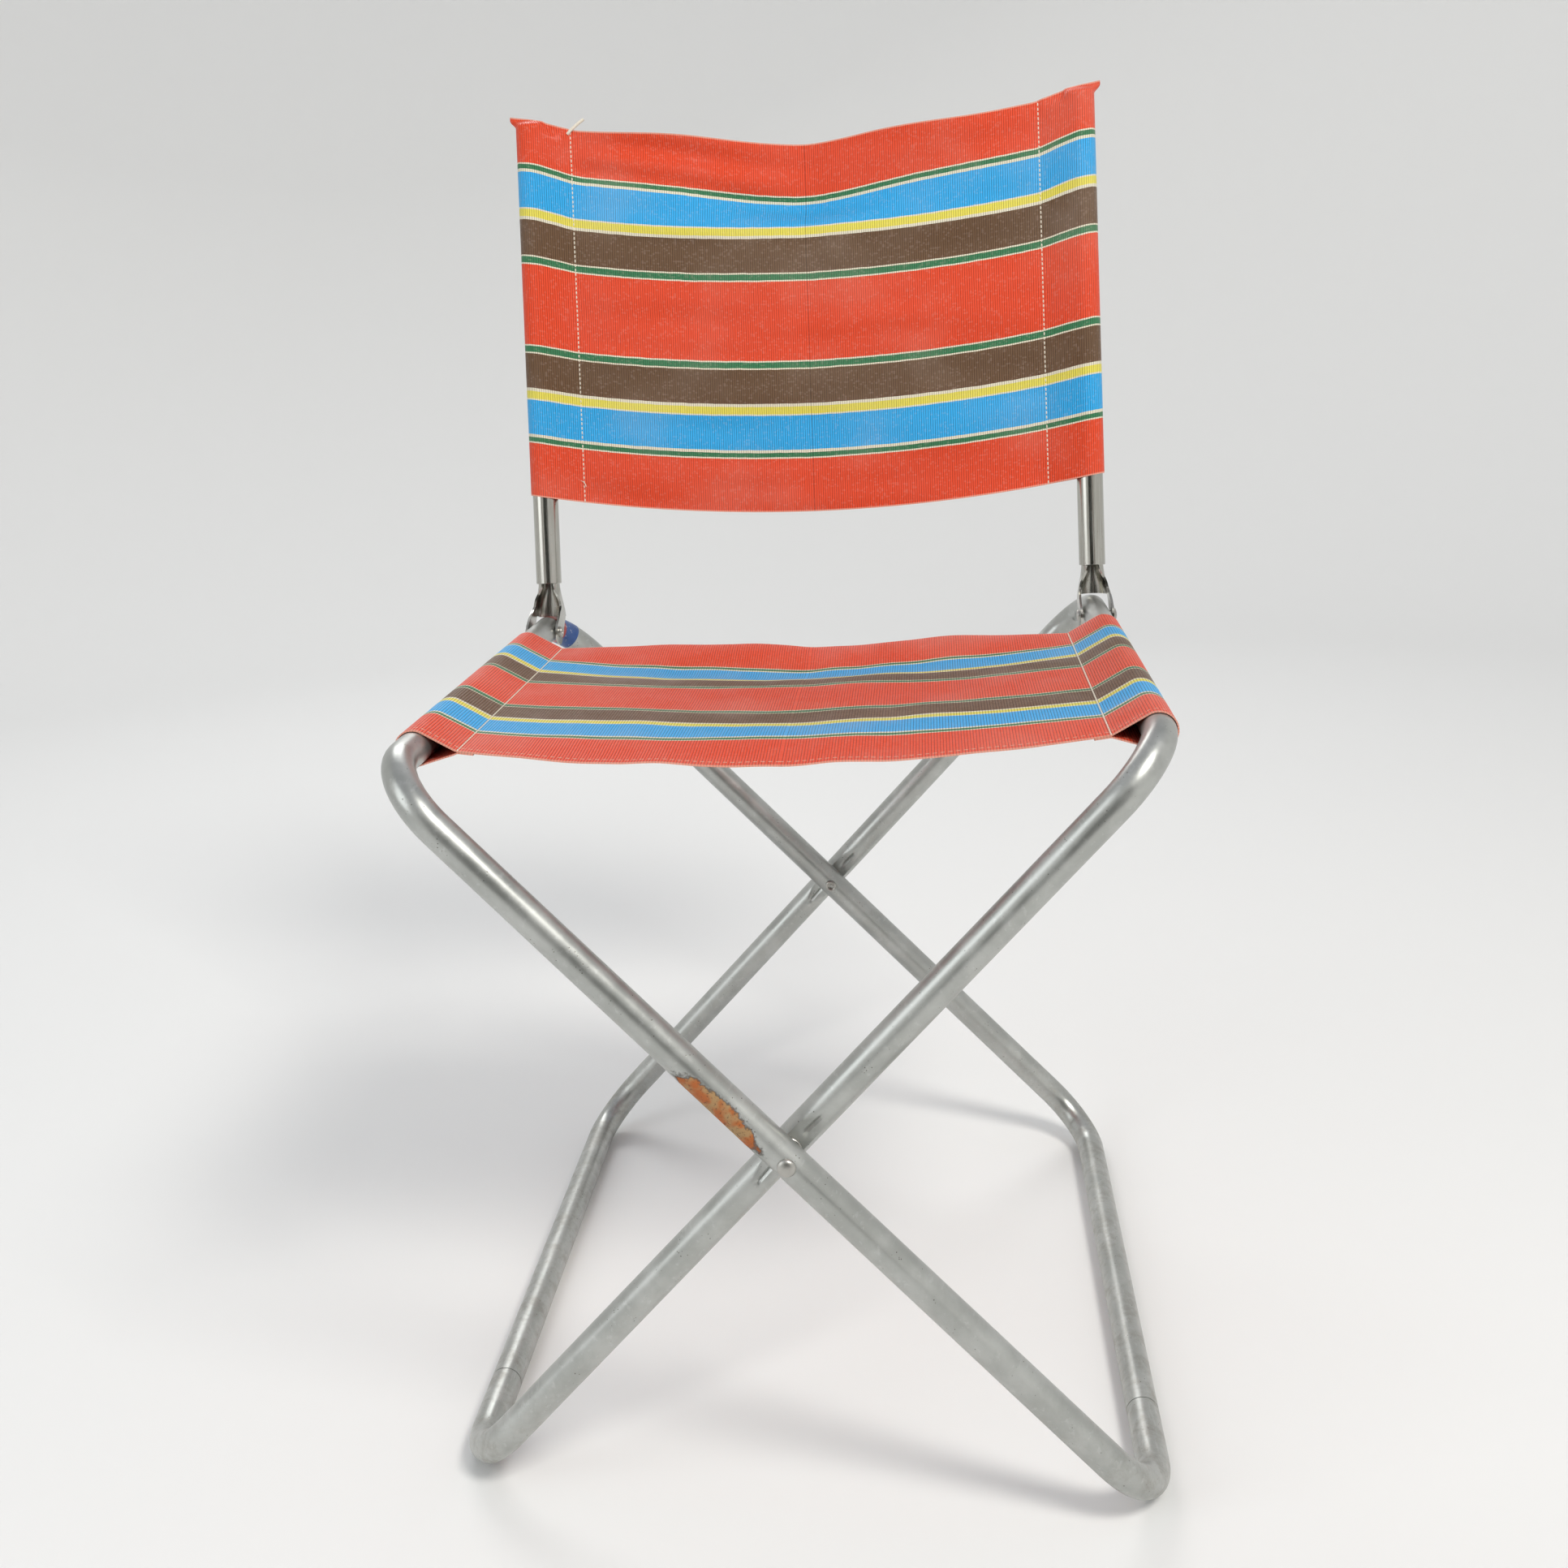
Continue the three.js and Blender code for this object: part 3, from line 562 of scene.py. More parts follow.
def press_dimples(bm, half):
    """Flats for the washers, pressed into the side of both legs that faces the other loop."""
    for vert in bm.verts:
        along = abs(vert.co.z)
        if along > DIMPLE_HALF:
            continue
        leg = math.copysign(half, vert.co.y)
        depth = DIMPLE_DEPTH * (1.0 - smoothstep(along, DIMPLE_FLAT, DIMPLE_HALF))
        out = leg - vert.co.y
        limit = TUBE_RADIUS - depth
        if out > limit:
            vert.co.y = leg - limit
            vert.co.x *= 1.0 + 0.10 * depth / DIMPLE_DEPTH
        if abs(vert.co.x) < 0.0003 and out > 0.0:
            fold = smoothstep(along, DIMPLE_FLAT - 0.006, DIMPLE_FLAT)
            vert.co.y += 0.0013 * fold * (1.0 - smoothstep(along, DIMPLE_HALF - 0.005, DIMPLE_HALF))


def hand_bend_marks(bm, half, amount):
    """The flattening and the faint ripples that a bender leaves inside each corner."""
    high = UPPER_LEG - BEND_RADIUS
    low = -LOWER_LEG + BEND_RADIUS
    for vert in bm.verts:
        centre_y = math.copysign(half - BEND_RADIUS, vert.co.y)
        centre_z = high if vert.co.z > 0 else low
        out = Vector((0.0, vert.co.y - centre_y, vert.co.z - centre_z))
        if out.y * centre_y <= 0 or out.z * centre_z <= 0:
            continue
        angle = math.atan2(abs(out.z), abs(out.y))
        share = math.sin(2 * angle)
        inner = max(0.0, (BEND_RADIUS - out.length) / TUBE_RADIUS)
        ripple = inner * inner * math.sin(angle * 26.0) * amount
        squeeze = -0.035 * share * (out.length - BEND_RADIUS)
        step = out.normalized() * (ripple * share + squeeze)
        vert.co += step


def make_loop(name, side):
    half = loop_half_depth(name)
    inset = half - BEND_RADIUS
    butt = -half + BUTT_FROM_FRONT
    start = Matrix.Translation((0.0, butt + BUTT_GAP / 2, -LOWER_LEG)) @ Matrix.Rotation(math.pi / 2, 4, "X")
    bm = bmesh.new()
    bmesh.ops.create_circle(bm, segments=TUBE_SIDES, radius=TUBE_RADIUS, matrix=start)
    ring = list(bm.edges)
    quarter = math.pi / 2
    low = -LOWER_LEG + BEND_RADIUS
    high = UPPER_LEG - BEND_RADIUS
    ring = lengthen(bm, ring, (0.0, BUTT_LIP, 0.0))
    ring = lengthen(bm, ring, (0.0, inset - butt - BUTT_GAP / 2 - BUTT_LIP, 0.0), 8)
    ring = bend_ring(bm, ring, (0.0, inset, low), quarter, BEND_STEPS)
    ring = lengthen(bm, ring, (0.0, 0.0, -DIMPLE_HALF - low), 6)
    ring = lengthen(bm, ring, (0.0, 0.0, 2 * DIMPLE_HALF), 24)
    ring = lengthen(bm, ring, (0.0, 0.0, high - DIMPLE_HALF), 6)
    ring = bend_ring(bm, ring, (0.0, inset, high), quarter, BEND_STEPS)
    ring = lengthen(bm, ring, (0.0, -2 * inset, 0.0), 10)
    ring = bend_ring(bm, ring, (0.0, -inset, high), quarter, BEND_STEPS)
    ring = lengthen(bm, ring, (0.0, 0.0, DIMPLE_HALF - high), 6)
    ring = lengthen(bm, ring, (0.0, 0.0, -2 * DIMPLE_HALF), 24)
    ring = lengthen(bm, ring, (0.0, 0.0, low + DIMPLE_HALF), 6)
    ring = bend_ring(bm, ring, (0.0, -inset, low), quarter, BEND_STEPS)
    ring = lengthen(bm, ring, (0.0, BUTT_FROM_FRONT - BEND_RADIUS - BUTT_GAP / 2 - BUTT_LIP, 0.0), 3)
    lengthen(bm, ring, (0.0, BUTT_LIP, 0.0))
    hand_bend_marks(bm, half, 0.0005)
    if side > 0:
        press_dimples(bm, half)
    bmesh.ops.recalc_face_normals(bm, faces=bm.faces)
    turn_outwards(bm, Vector((0.0, 0.0, -LOWER_LEG)))
    bmesh.ops.transform(bm, matrix=loop_matrix(name, side), verts=bm.verts)
    loop = to_piece(bm, f"{name}_loop", PAINT)
    wall = loop.modifiers.new("wall", "SOLIDIFY")
    wall.thickness = TUBE_WALL
    wall.offset = -1.0
    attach(loop, f"{name}_frame")
    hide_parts(f"{name}_frame_tube")
    return loop


def turn_outwards(bm, axis_point):
    """Flips a tube whose faces point at its own axis, judged on the straight run through a point."""
    face = min(bm.faces, key=lambda found: abs(found.calc_center_median().y - axis_point.y)
               + (0.0 if found.calc_center_median().z < 0 else 1.0))
    out = face.calc_center_median() - axis_point
    out.y = 0.0
    if out.dot(face.normal) < 0:
        bmesh.ops.reverse_faces(bm, faces=bm.faces)


def make_corner_band():
    """A plain film stuck round the left loop's rear upper corner."""
    half = loop_half_depth("left")
    inset = half - BEND_RADIUS
    high = UPPER_LEG - BEND_RADIUS
    start_angle, sweep, steps = 0.10, 0.80, 14
    bm = bmesh.new()
    layer = bm.loops.layers.uv.new("UVMap")
    place = Matrix.Translation((0.0, inset, UPPER_LEG)) @ Matrix.Rotation(math.pi / 2, 4, "X")
    bmesh.ops.create_circle(bm, segments=TUBE_SIDES, radius=TUBE_RADIUS + 0.00015, matrix=place)
    turn = Matrix.Rotation(-start_angle, 3, "X")
    bmesh.ops.rotate(bm, verts=bm.verts, cent=(0.0, inset, high), matrix=turn)
    bend_ring(bm, list(bm.edges), (0.0, inset, high), -sweep, steps)
    for face in bm.faces:
        for corner in face.loops:
            out = corner.vert.co - Vector((0.0, inset, high))
            angle = math.atan2(out.y, out.z)
            corner[layer].uv = ((angle - start_angle) / sweep, corner.vert.co.x)
    bmesh.ops.recalc_face_normals(bm, faces=bm.faces)
    bmesh.ops.transform(bm, matrix=loop_matrix("left", -1), verts=bm.verts)
    band = to_piece(bm, "left_corner_band", FILM)
    film = band.modifiers.new("film", "SOLIDIFY")
    film.thickness = 0.0001
    film.offset = 0.0
    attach(band, "left_frame")
    return band


# Rivets and washers -------------------------------------------------------------------------------

def rivet_profile(grip, head=RIVET_HEAD):
    """Head up, tail down: a domed head, a shank and a rolled tail, centred on the grip."""
    half = grip / 2
    under = half - RIVET_BEDDING
    dome = [(head * math.sin(a), half + RIVET_HEAD_HEIGHT * math.cos(a))
            for a in [math.pi / 2 * i / 10 for i in range(11)]]
    roll = (RIVET_TAIL - RIVET_BORE) / 2
    rolled = arc(roll, (RIVET_BORE + roll, -half - 0.6 * RIVET_TAIL_HEIGHT), 0.0, -math.pi, 10)
    return dome + [
        (head, under), (RIVET_RADIUS, under), (RIVET_RADIUS, -under), (RIVET_TAIL, -under),
    ] + rolled + [
        (RIVET_BORE, -half - 0.0002), (0.55 * RIVET_BORE, -half + 0.0001),
        (0.45 * RIVET_BORE, -half - 0.0002), (0.0, -half - 0.0003),
    ]


def make_rivet(node, place, head_towards, grip, body):
    towards = Vector(head_towards).normalized()
    turn = Vector((0.0, 0.0, 1.0)).rotation_difference(towards).to_matrix().to_4x4()
    bm = turn_profile(rivet_profile(grip), Matrix.Translation(place) @ turn)
    rivet = to_piece(bm, node.replace("rivet", "pin"), PLATED)
    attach(rivet, body)
    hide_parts(node)
    return rivet


def make_pivots():
    grip = 4 * TUBE_RADIUS + LOOP_GAP
    left_half = loop_half_depth("left")
    middle = PIVOT.y
    for name, facing in (("front", -1.0), ("rear", 1.0)):
        place = Vector((0.0, middle + facing * left_half, PIVOT.z))
        make_rivet(f"{name}_pivot_rivet", place, (0.0, facing, 0.0), grip, "root")
        low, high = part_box(f"{name}_pivot_washer")
        thick = high.y - low.y
        edge = WASHER_EDGE
        hole = RIVET_RADIUS + CLEARANCE
        profile = [
            (hole, -thick / 2), (WASHER_RADIUS - edge, -thick / 2), (WASHER_RADIUS, -thick / 2 + edge),
            (WASHER_RADIUS, thick / 2 - edge), (WASHER_RADIUS - edge, thick / 2), (hole, thick / 2),
        ]
        centre = Vector((0.0, (low.y + high.y) / 2, PIVOT.z))
        bm = turn_profile(profile, Matrix.Translation(centre) @ Matrix.Rotation(math.pi / 2, 4, "X"), True)
        washer = to_piece(bm, f"{name}_pivot_spacer", PLATED)
        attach(washer, "root")
        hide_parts(f"{name}_pivot_washer")


# Posts --------------------------------------------------------------------------------------------
# In a post's own frame the post's axis is z, its front is -y and the hinge is at z = 0.

def post_matrix(name):
    lean = Matrix.Rotation(-POST_LEAN, 4, "X")
    return Matrix.Translation(HINGE[name]) @ lean @ Matrix.Translation((0.0, POST_SETBACK, 0.0))


def make_post_tube(name):
    inside = TUBE_RADIUS - TUBE_WALL
    lip = 0.00035
    profile = [
        (inside + lip, POST_START), (TUBE_RADIUS - lip, POST_START), (TUBE_RADIUS, POST_START + lip),
        (TUBE_RADIUS, POST_END - lip), (TUBE_RADIUS - lip, POST_END), (inside + lip, POST_END),
        (inside, POST_END - lip), (inside, POST_START + lip),
    ]
    tube = to_piece(turn_profile(profile, post_matrix(name), True, 64), f"{name}_post", STEEL, 30.0)
    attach(tube, f"{name}_post")
    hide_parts(f"{name}_post_tube")
    return tube


def slit_section(height, outside):
    """Half of the clevis's section at a height, from its rear middle to its front edge.

    High up it is a slit tube whose edges nearly meet at the front. Lower down it opens out until
    its walls run straight forward as two ears."""
    opened = 1.0 - smoothstep(height, 0.0225, POST_START + 0.0015)
    reach_high = outside * 1.04
    reach_low = POST_SETBACK + 1.3 * EAR_RADIUS
    reach = reach_high + (reach_low - reach_high) * (1.0 - smoothstep(height, 0.006, FLARE_END + 0.003))
    points = []
    quarter_steps, reach_steps = 10, 18
    for i in range(quarter_steps + 1):
        angle = math.pi / 2 * i / quarter_steps
        points.append((outside * math.sin(angle), outside * math.cos(angle)))
    curve = (1.0 - opened) / outside
    for i in range(1, reach_steps + 1):
        run = reach * i / reach_steps
        if curve > 1e-3:
            points.append((outside - (1 - math.cos(curve * run)) / curve, -math.sin(curve * run) / curve))
        else:
            points.append((outside, -run))
    return points


def make_channel(name):
    outside = TUBE_RADIUS - TUBE_WALL - CLEARANCE
    inside = outside - CLEVIS_WALL
    low = -EAR_RADIUS - 0.001
    rows = 56
    half_count = len(slit_section(low, outside))
    columns = 2 * half_count - 2
    bm = bmesh.new()
    bmesh.ops.create_grid(bm, x_segments=columns, y_segments=rows, size=1.0)
    for vert in bm.verts:
        column = round((vert.co.x + 1.0) / 2 * columns)
        height = low + (CLEVIS_TOP - low) * (vert.co.y + 1.0) / 2
        away = column - (half_count - 1)
        x, y = slit_section(height, outside)[abs(away)]
        x = math.copysign(x, away) if away else 0.0
        spread = 1.0 - smoothstep(height, FLARE_END - 0.008, FLARE_START + 0.004)
        x += (EAR_INSIDE - inside) * spread * max(-1.0, min(1.0, x / inside))
        vert.co = Vector((x, y, height))
    bmesh.ops.recalc_face_normals(bm, faces=bm.faces)
    rear = max(bm.faces, key=lambda face: face.calc_center_median().y)
    if rear.normal.y < 0:
        bmesh.ops.reverse_faces(bm, faces=bm.faces)
    channel = to_piece(bm, f"{name}_clevis", STEEL)
    wall = channel.modifiers.new("wall", "SOLIDIFY")
    wall.thickness = CLEVIS_WALL
    wall.offset = -1.0
    return channel


def rest_height(name, y):
    """Height in the post's frame just above the rail, which falls away where its corner begins."""
    back = y + POST_SETBACK
    bend_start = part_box(f"{name}_frame_tube")[1].y - TUBE_RADIUS - BEND_RADIUS
    into_bend = HINGE[name].y + back - bend_start
    into_bend = min(max(into_bend, 0.0), 0.8 * BEND_RADIUS)
    outside = BEND_RADIUS + TUBE_RADIUS
    fall = outside - math.sqrt(outside ** 2 - into_bend ** 2)
    return (TUBE_RADIUS + CLEVIS_REST_GAP - fall + back * math.sin(POST_LEAN)) / math.cos(POST_LEAN)


def make_side_view(name):
    """The clevis seen from the side, as a thick plate to cut the channel with."""
    ear = arc(EAR_RADIUS, (-POST_SETBACK, 0.0), -0.6, -1.2 * math.pi, 30)
    rear = 2 * TUBE_RADIUS
    rest = [(rear * i / 8, rest_height(name, rear * i / 8)) for i in range(8, -1, -1)]
    outline = [
        (rear, CLEVIS_TOP + 0.001), *rest,
        *ear,
        (-TUBE_RADIUS - 0.001, FLARE_END + 0.002), (-TUBE_RADIUS - 0.001, CLEVIS_TOP + 0.001),
    ]
    bm = bmesh.new()
    face = bm.faces.new([bm.verts.new((-2 * TUBE_RADIUS, y, z)) for y, z in outline])
    grown = bmesh.ops.extrude_face_region(bm, geom=[face])["geom"]
    verts = [part for part in grown if isinstance(part, bmesh.types.BMVert)]
    bmesh.ops.translate(bm, verts=verts, vec=(4 * TUBE_RADIUS, 0.0, 0.0))
    bmesh.ops.recalc_face_normals(bm, faces=bm.faces)
    return to_piece(bm, "side_view", STEEL)


def keep_inside(piece, cutter):
    """Cuts a piece down to what lies inside the cutter, and removes the cutter."""
    cut = piece.modifiers.new("cut", "BOOLEAN")
    cut.operation = "INTERSECT"
    cut.solver = "EXACT"
    cut.object = cutter
    evaluated = piece.evaluated_get(bpy.context.evaluated_depsgraph_get())
    mesh = bpy.data.meshes.new_from_object(evaluated)
    piece.modifiers.clear()
    piece.data = mesh
    bpy.data.objects.remove(cutter)


def make_clevis(name):
    clevis = make_channel(name)
    keep_inside(clevis, make_side_view(name))
    clevis.data.transform(post_matrix(name))
    clevis.data.shade_smooth()
    clevis.data.set_sharp_from_angle(angle=math.radians(30))
    edge = clevis.modifiers.new("edge", "BEVEL")
    edge.width = 0.0003
    edge.segments = 2
    edge.limit_method = "ANGLE"
    edge.angle_limit = math.radians(40)
    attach(clevis, f"{name}_post")
    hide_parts(f"{name}_post_clevis")
    return clevis


def make_hinge_rivet(name, side):
    grip = 2 * (EAR_INSIDE + CLEVIS_WALL)
    return make_rivet(f"{name}_hinge_rivet", HINGE[name], (side, 0.0, 0.0), grip, f"{name}_frame")


# Cloth --------------------------------------------------------------------------------------------

def sleeve_path(seam_x, taut_height, line_steps, wrap_steps):
    """Stations of a sewn sleeve seen end on, with the tube's centre at (0, 0).

    x runs inwards to the seam, y to the cloth's show side, and z is how far a station lies under
    the panel. The path starts at the hem behind the panel, passes the seam, goes round the tube
    and comes back to the seam on the show side."""
    seam = Vector((seam_x, taut_height(seam_x)))
    spread = math.acos(CLOTH_RADIUS / seam.length)
    towards = math.atan2(seam.y, seam.x)
    first, last = towards - spread, towards + spread - 2 * math.pi
    hem_places = [seam_x + HEM * (1 - i / 4) for i in range(4)]
    hem = [Vector((x, taut_height(x), LAYER_GAP)) for x in hem_places]
    hidden = seam - Vector((0.0, LAYER_GAP))
    rounds = [first + (last - first) * i / wrap_steps for i in range(wrap_steps + 1)]
    wrap = [CLOTH_RADIUS * Vector((math.cos(a), math.sin(a))) for a in rounds]
    under = [hidden.lerp(wrap[0], i / line_steps) for i in range(1, line_steps)]
    over = [wrap[-1].lerp(seam, i / line_steps) for i in range(1, line_steps + 1)]
    hem.append(Vector((seam.x, seam.y, LAYER_GAP)))
    return hem + [point.to_3d() for point in under + wrap + over]


def with_lengths(path, start=0.0):
    """Pairs of a station and the length of cloth from the path's start to it."""
    run = start
    stations = [(path[0], run)]
    for before, after in zip(path, path[1:]):
        run += (after.xy - before.xy).length
        stations.append((after, run))
    return stations


def make_strip(name, stations, rows, place, material):
    """A cloth strip: stations of a path across the chair, rows along the cloth's width.

    Its UV map holds the length along the path and the distance across the stripes, in metres."""
    bm = bmesh.new()
    layer = bm.loops.layers.uv.new("UVMap")
    columns = len(stations) - 1
    bmesh.ops.create_grid(bm, x_segments=columns, y_segments=len(rows) - 1, size=1.0)
    where = {}
    for vert in bm.verts:
        point, run = stations[round((vert.co.x + 1.0) / 2 * columns)]
        across = rows[round((vert.co.y + 1.0) / 2 * (len(rows) - 1))]
        where[vert] = (run, across)
        vert.co = place(point, across)
    for face in bm.faces:
        for corner in face.loops:
            corner[layer].uv = where[corner.vert]
    bmesh.ops.recalc_face_normals(bm, faces=bm.faces)
    strip = to_piece(bm, name, material, 70.0)
    wall = strip.modifiers.new("cloth", "SOLIDIFY")
    wall.thickness = CLOTH
    wall.offset = 0.0
    return strip


def ruffle(x, y, scale_x, scale_y, seed):
    return noise.noise(Vector((x * scale_x, y * scale_y, seed)))


def even_rows(step):
    count = round(CLOTH_WIDTH / step)
    return [CLOTH_WIDTH * i / count for i in range(count + 1)]


# Seat ---------------------------------------------------------------------------------------------

def seat_shape(x, across, height):
    """Adds the seat's slackness to a point of the panel, given its place and taut height."""
    slack = 1.0 - (x / (HALF_SPAN - SEAT_SEAM)) ** 2
    front = 1.0 - smoothstep(across, 0.0, 0.05)
    rear = smoothstep(across, 0.20, CLOTH_WIDTH)
    # Unevenness, then a hollow at the rear middle, a dip across and the raised rear edge.
    height += 0.0022 * slack * ruffle(x, across, 14.0, 11.0, 3.1)
    height += 0.0012 * slack * ruffle(x, across, 34.0, 16.0, 7.4)
    height -= 0.0030 * slack * rear * math.exp(-((x - 0.02) / 0.05) ** 2)
    height -= 0.0045 * slack * math.exp(-((across - 0.226) / 0.026) ** 2)
    height += 0.0075 * slack * smoothstep(across, 0.242, CLOTH_WIDTH)
    # The front edge droops, and a shallow crease runs down the middle.
    height -= 0.0040 * slack * front * (1.0 + 0.5 * ruffle(x, 0.0, 22.0, 1.0, 5.0))
    height -= 0.0014 * math.exp(-(x / 0.014) ** 2) * (0.4 + 0.6 * rear)
    return height


def make_seat_half(name, side):
    half_inner = HALF_SPAN - SEAT_SEAM

    def hang(x):
        return -SEAT_SAG * (1.0 - (x / HALF_SPAN) ** 2)

    def taut_height(inwards):
        return hang(HALF_SPAN - inwards)

    places = [SEAT_SEAM + half_inner * i / 60 for i in range(1, 61)]
    panel = [Vector((x, taut_height(x), 0.0)) for x in places]
    sleeve = sleeve_path(SEAT_SEAM, taut_height, 9, 26)

    def place(point, across):
        x = side * (HALF_SPAN - point.x)
        height = point.y
        if point.x > SEAT_SEAM:
            height = seat_shape(x, across, height)
        elif point.x > 0.0:
            height += 0.0004 * ruffle(point.x, across, 60.0, 90.0, 1.5 + side) * point.x / SEAT_SEAM
        height -= point.z
        shift = 0.0010 * ruffle(x, across, 20.0, 4.0, 9.0 + side) * (1.0 - (x / HALF_SPAN) ** 2)
        return Vector((x, SEAT_FRONT + across + shift, HINGE[name].z + height))

    cloth = make_strip(f"{name}_seat_cloth", with_lengths(sleeve + panel), even_rows(0.0032), place,
                       SEAT_STRIPES)
    length = with_lengths(sleeve + panel)[-1][1]
    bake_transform(cloth)
    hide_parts(f"{name}_seat_pocket", "seat_panel")
    seam = Vector((SEAT_SEAM, taut_height(SEAT_SEAM), 0.0))
    rows = seam_rows(place, seam, Vector((0.0, 0.0, 1.0)))
    stitches = make_stitches(f"{name}_seat_seam", rows)
    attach(stitches, f"{name}_frame")
    return cloth


# Back ---------------------------------------------------------------------------------------------

def back_slack(x, share):
    """How far the back's cloth drops and lies to the rear, at a place x and a share of its width."""
    arch = 1.0 - (x / HALF_SPAN) ** 2
    side_fade = 1.0 - smoothstep(abs(x), HALF_SPAN - BACK_SEAM - 0.01, HALF_SPAN - BACK_SEAM + 0.004)
    # The cloth hangs lower towards the middle, and its top corners stand up at the posts.
    drop = 0.018 * arch - 0.003
    drop -= 0.0050 * share * share * smoothstep(abs(x), 0.168, 0.202)
    drop += 0.0055 * smoothstep(share, 0.86, 1.0) * smoothstep(abs(x + 0.02), 0.060, 0.165)
    # A band near the top is tucked to the rear, further along on the left than on the right.
    reach = 0.175 if x < 0 else 0.135
    tuck = math.cos(min(1.0, abs(x) / reach) * math.pi / 2) ** 2
    band = smoothstep(share, 0.735, 0.842)
    setback = 0.018 * tuck
    fold_radius = 0.027
    fold_drop = fold_radius - math.sqrt(max(0.0, fold_radius ** 2 - setback ** 2))
    drop += fold_drop * band
    rear = BACK_BELLY * arch + setback * band
    # A crease down the middle, ripples at the upper left and a general unevenness.
    rear += 0.0030 * math.exp(-(x / 0.016) ** 2) * (0.5 + 0.5 * share)
    high_left = smoothstep(share, 0.72, 0.92) * math.exp(-((x + 0.10) / 0.075) ** 2)
    rear += side_fade * high_left * 0.0022 * math.sin(2 * math.pi * (share * 11.0 + x * 2.5))
    rear += side_fade * 0.0026 * ruffle(x, share, 9.0, 7.0, 2.3)
    rear += side_fade * 0.0014 * ruffle(x + 0.18 * share, share, 13.0, 19.0, 6.1)
    return drop, rear


def make_back_half(name, side):
    half_inner = HALF_SPAN - BACK_SEAM
    matrix = post_matrix(name)

    def taut_height(inwards):
        return -BACK_BELLY * (1.0 - ((HALF_SPAN - inwards) / HALF_SPAN) ** 2)

    sleeve = sleeve_path(BACK_SEAM, taut_height, 10, 28)
    panel = [Vector((BACK_SEAM + half_inner * i / 64, 0.0, 0.0)) for i in range(65)]
    cap_top = POST_END + 0.0042

    def place(point, across):
        x = side * (HALF_SPAN - point.x)
        share = across / CLOTH_WIDTH
        drop, rear = back_slack(x, share)
        along = BACK_START + across - drop
        inwards = point.x
        front = point.y
        closing = smoothstep(along, cap_top - 0.0025, cap_top + 0.0040)
        beside_tube = smoothstep(point.x, 0.009, 0.014) * smoothstep(share, 0.955, 0.995)
        closing = max(closing, beside_tube)
        if point.x < BACK_SEAM - 1e-6:
            over_tube = 1.0 - smoothstep(point.x, 0.0, BACK_SEAM)
            front = front * (1.0 - 0.93 * closing)
            gather = smoothstep(share, 0.86, 1.0) * (1.0 - closing * 0.6)
            front += 0.0008 * gather * math.sin(point.x * 900.0 + share * 22.0) * (1.0 - over_tube)
            front += 0.0005 * ruffle(point.x, across, 50.0, 26.0, 4.0 + side) * (point.y > 0.0)
            inwards -= 0.0045 * closing * over_tube
        else:
            front = -rear - point.z
        return matrix @ Vector((-side * inwards, -front, along))

    # The rows lie closer together near the top, where the sleeve closes over the post.
    close_from = 0.262
    close_rows = [close_from + (CLOTH_WIDTH - close_from) * i / 16 for i in range(17)]
    rows = [row for row in even_rows(0.0034) if row < close_from] + close_rows
    stations = with_lengths(sleeve)
    pocket = make_strip(f"{name}_back_sleeve", stations, rows, place, BACK_STRIPES)
    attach(pocket, f"{name}_post")
    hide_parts(f"{name}_back_pocket")
    sleeve_length = stations[-1][1]

    panel_stations = with_lengths(panel, sleeve_length)
    cloth = make_strip(f"{name}_back_cloth", panel_stations, rows, place, BACK_STRIPES)
    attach(cloth, f"{name}_post")
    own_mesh(cloth)
    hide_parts("back_panel")
    out = (matrix.to_3x3() @ Vector((0.0, -1.0, 0.0))).normalized()
    seam = Vector((BACK_SEAM, taut_height(BACK_SEAM), 0.0))
    stitches = make_stitches(f"{name}_back_seam", seam_rows(place, seam, out))
    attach(stitches, f"{name}_post")
    return cloth


def seam_rows(place, seam, out):
    """The two lines of a seam's thread, on the show side and on the hidden side of the cloth."""
    hidden = seam + Vector((0.0, 0.0, LAYER_GAP))
    shown_line = [place(seam, CLOTH_WIDTH * i / 100) + out * 0.0005 for i in range(101)]
    hidden_line = [place(hidden, CLOTH_WIDTH * i / 100) - out * 0.0005 for i in range(101)]
    return [(shown_line, out), (hidden_line, -out)]


def make_stitches(name, rows):
    """Rows of lockstitches, each stitch a small rounded bar lying on the cloth."""
    bm = bmesh.new()
    for line, out in rows:
        add_stitches(bm, line, out)
    bmesh.ops.recalc_face_normals(bm, faces=bm.faces)
    return to_piece(bm, name, THREAD, 80.0)


def add_stitches(bm, line, out):
    pitch, width = 0.0034, 0.00055
    lengths = [0.0]
    for before, after in zip(line, line[1:]):
        lengths.append(lengths[-1] + (after - before).length)
    count = int(lengths[-1] / pitch)
    index = 0
    for i in range(count):
        middle = (i + 0.5) * pitch
        while lengths[index + 1] < middle:
            index += 1
        share = (middle - lengths[index]) / (lengths[index + 1] - lengths[index])
        point = line[index].lerp(line[index + 1], share)
        along = (line[index + 1] - line[index]).normalized()
        side = along.cross(out).normalized()
        turn = Matrix((along, side, along.cross(side))).transposed().to_4x4()
        grow = Matrix.Diagonal((0.43 * pitch, width, 0.8 * width, 1.0))
        bmesh.ops.create_uvsphere(bm, u_segments=6, v_segments=5, radius=1.0,
                                  matrix=Matrix.Translation(point) @ turn @ grow)


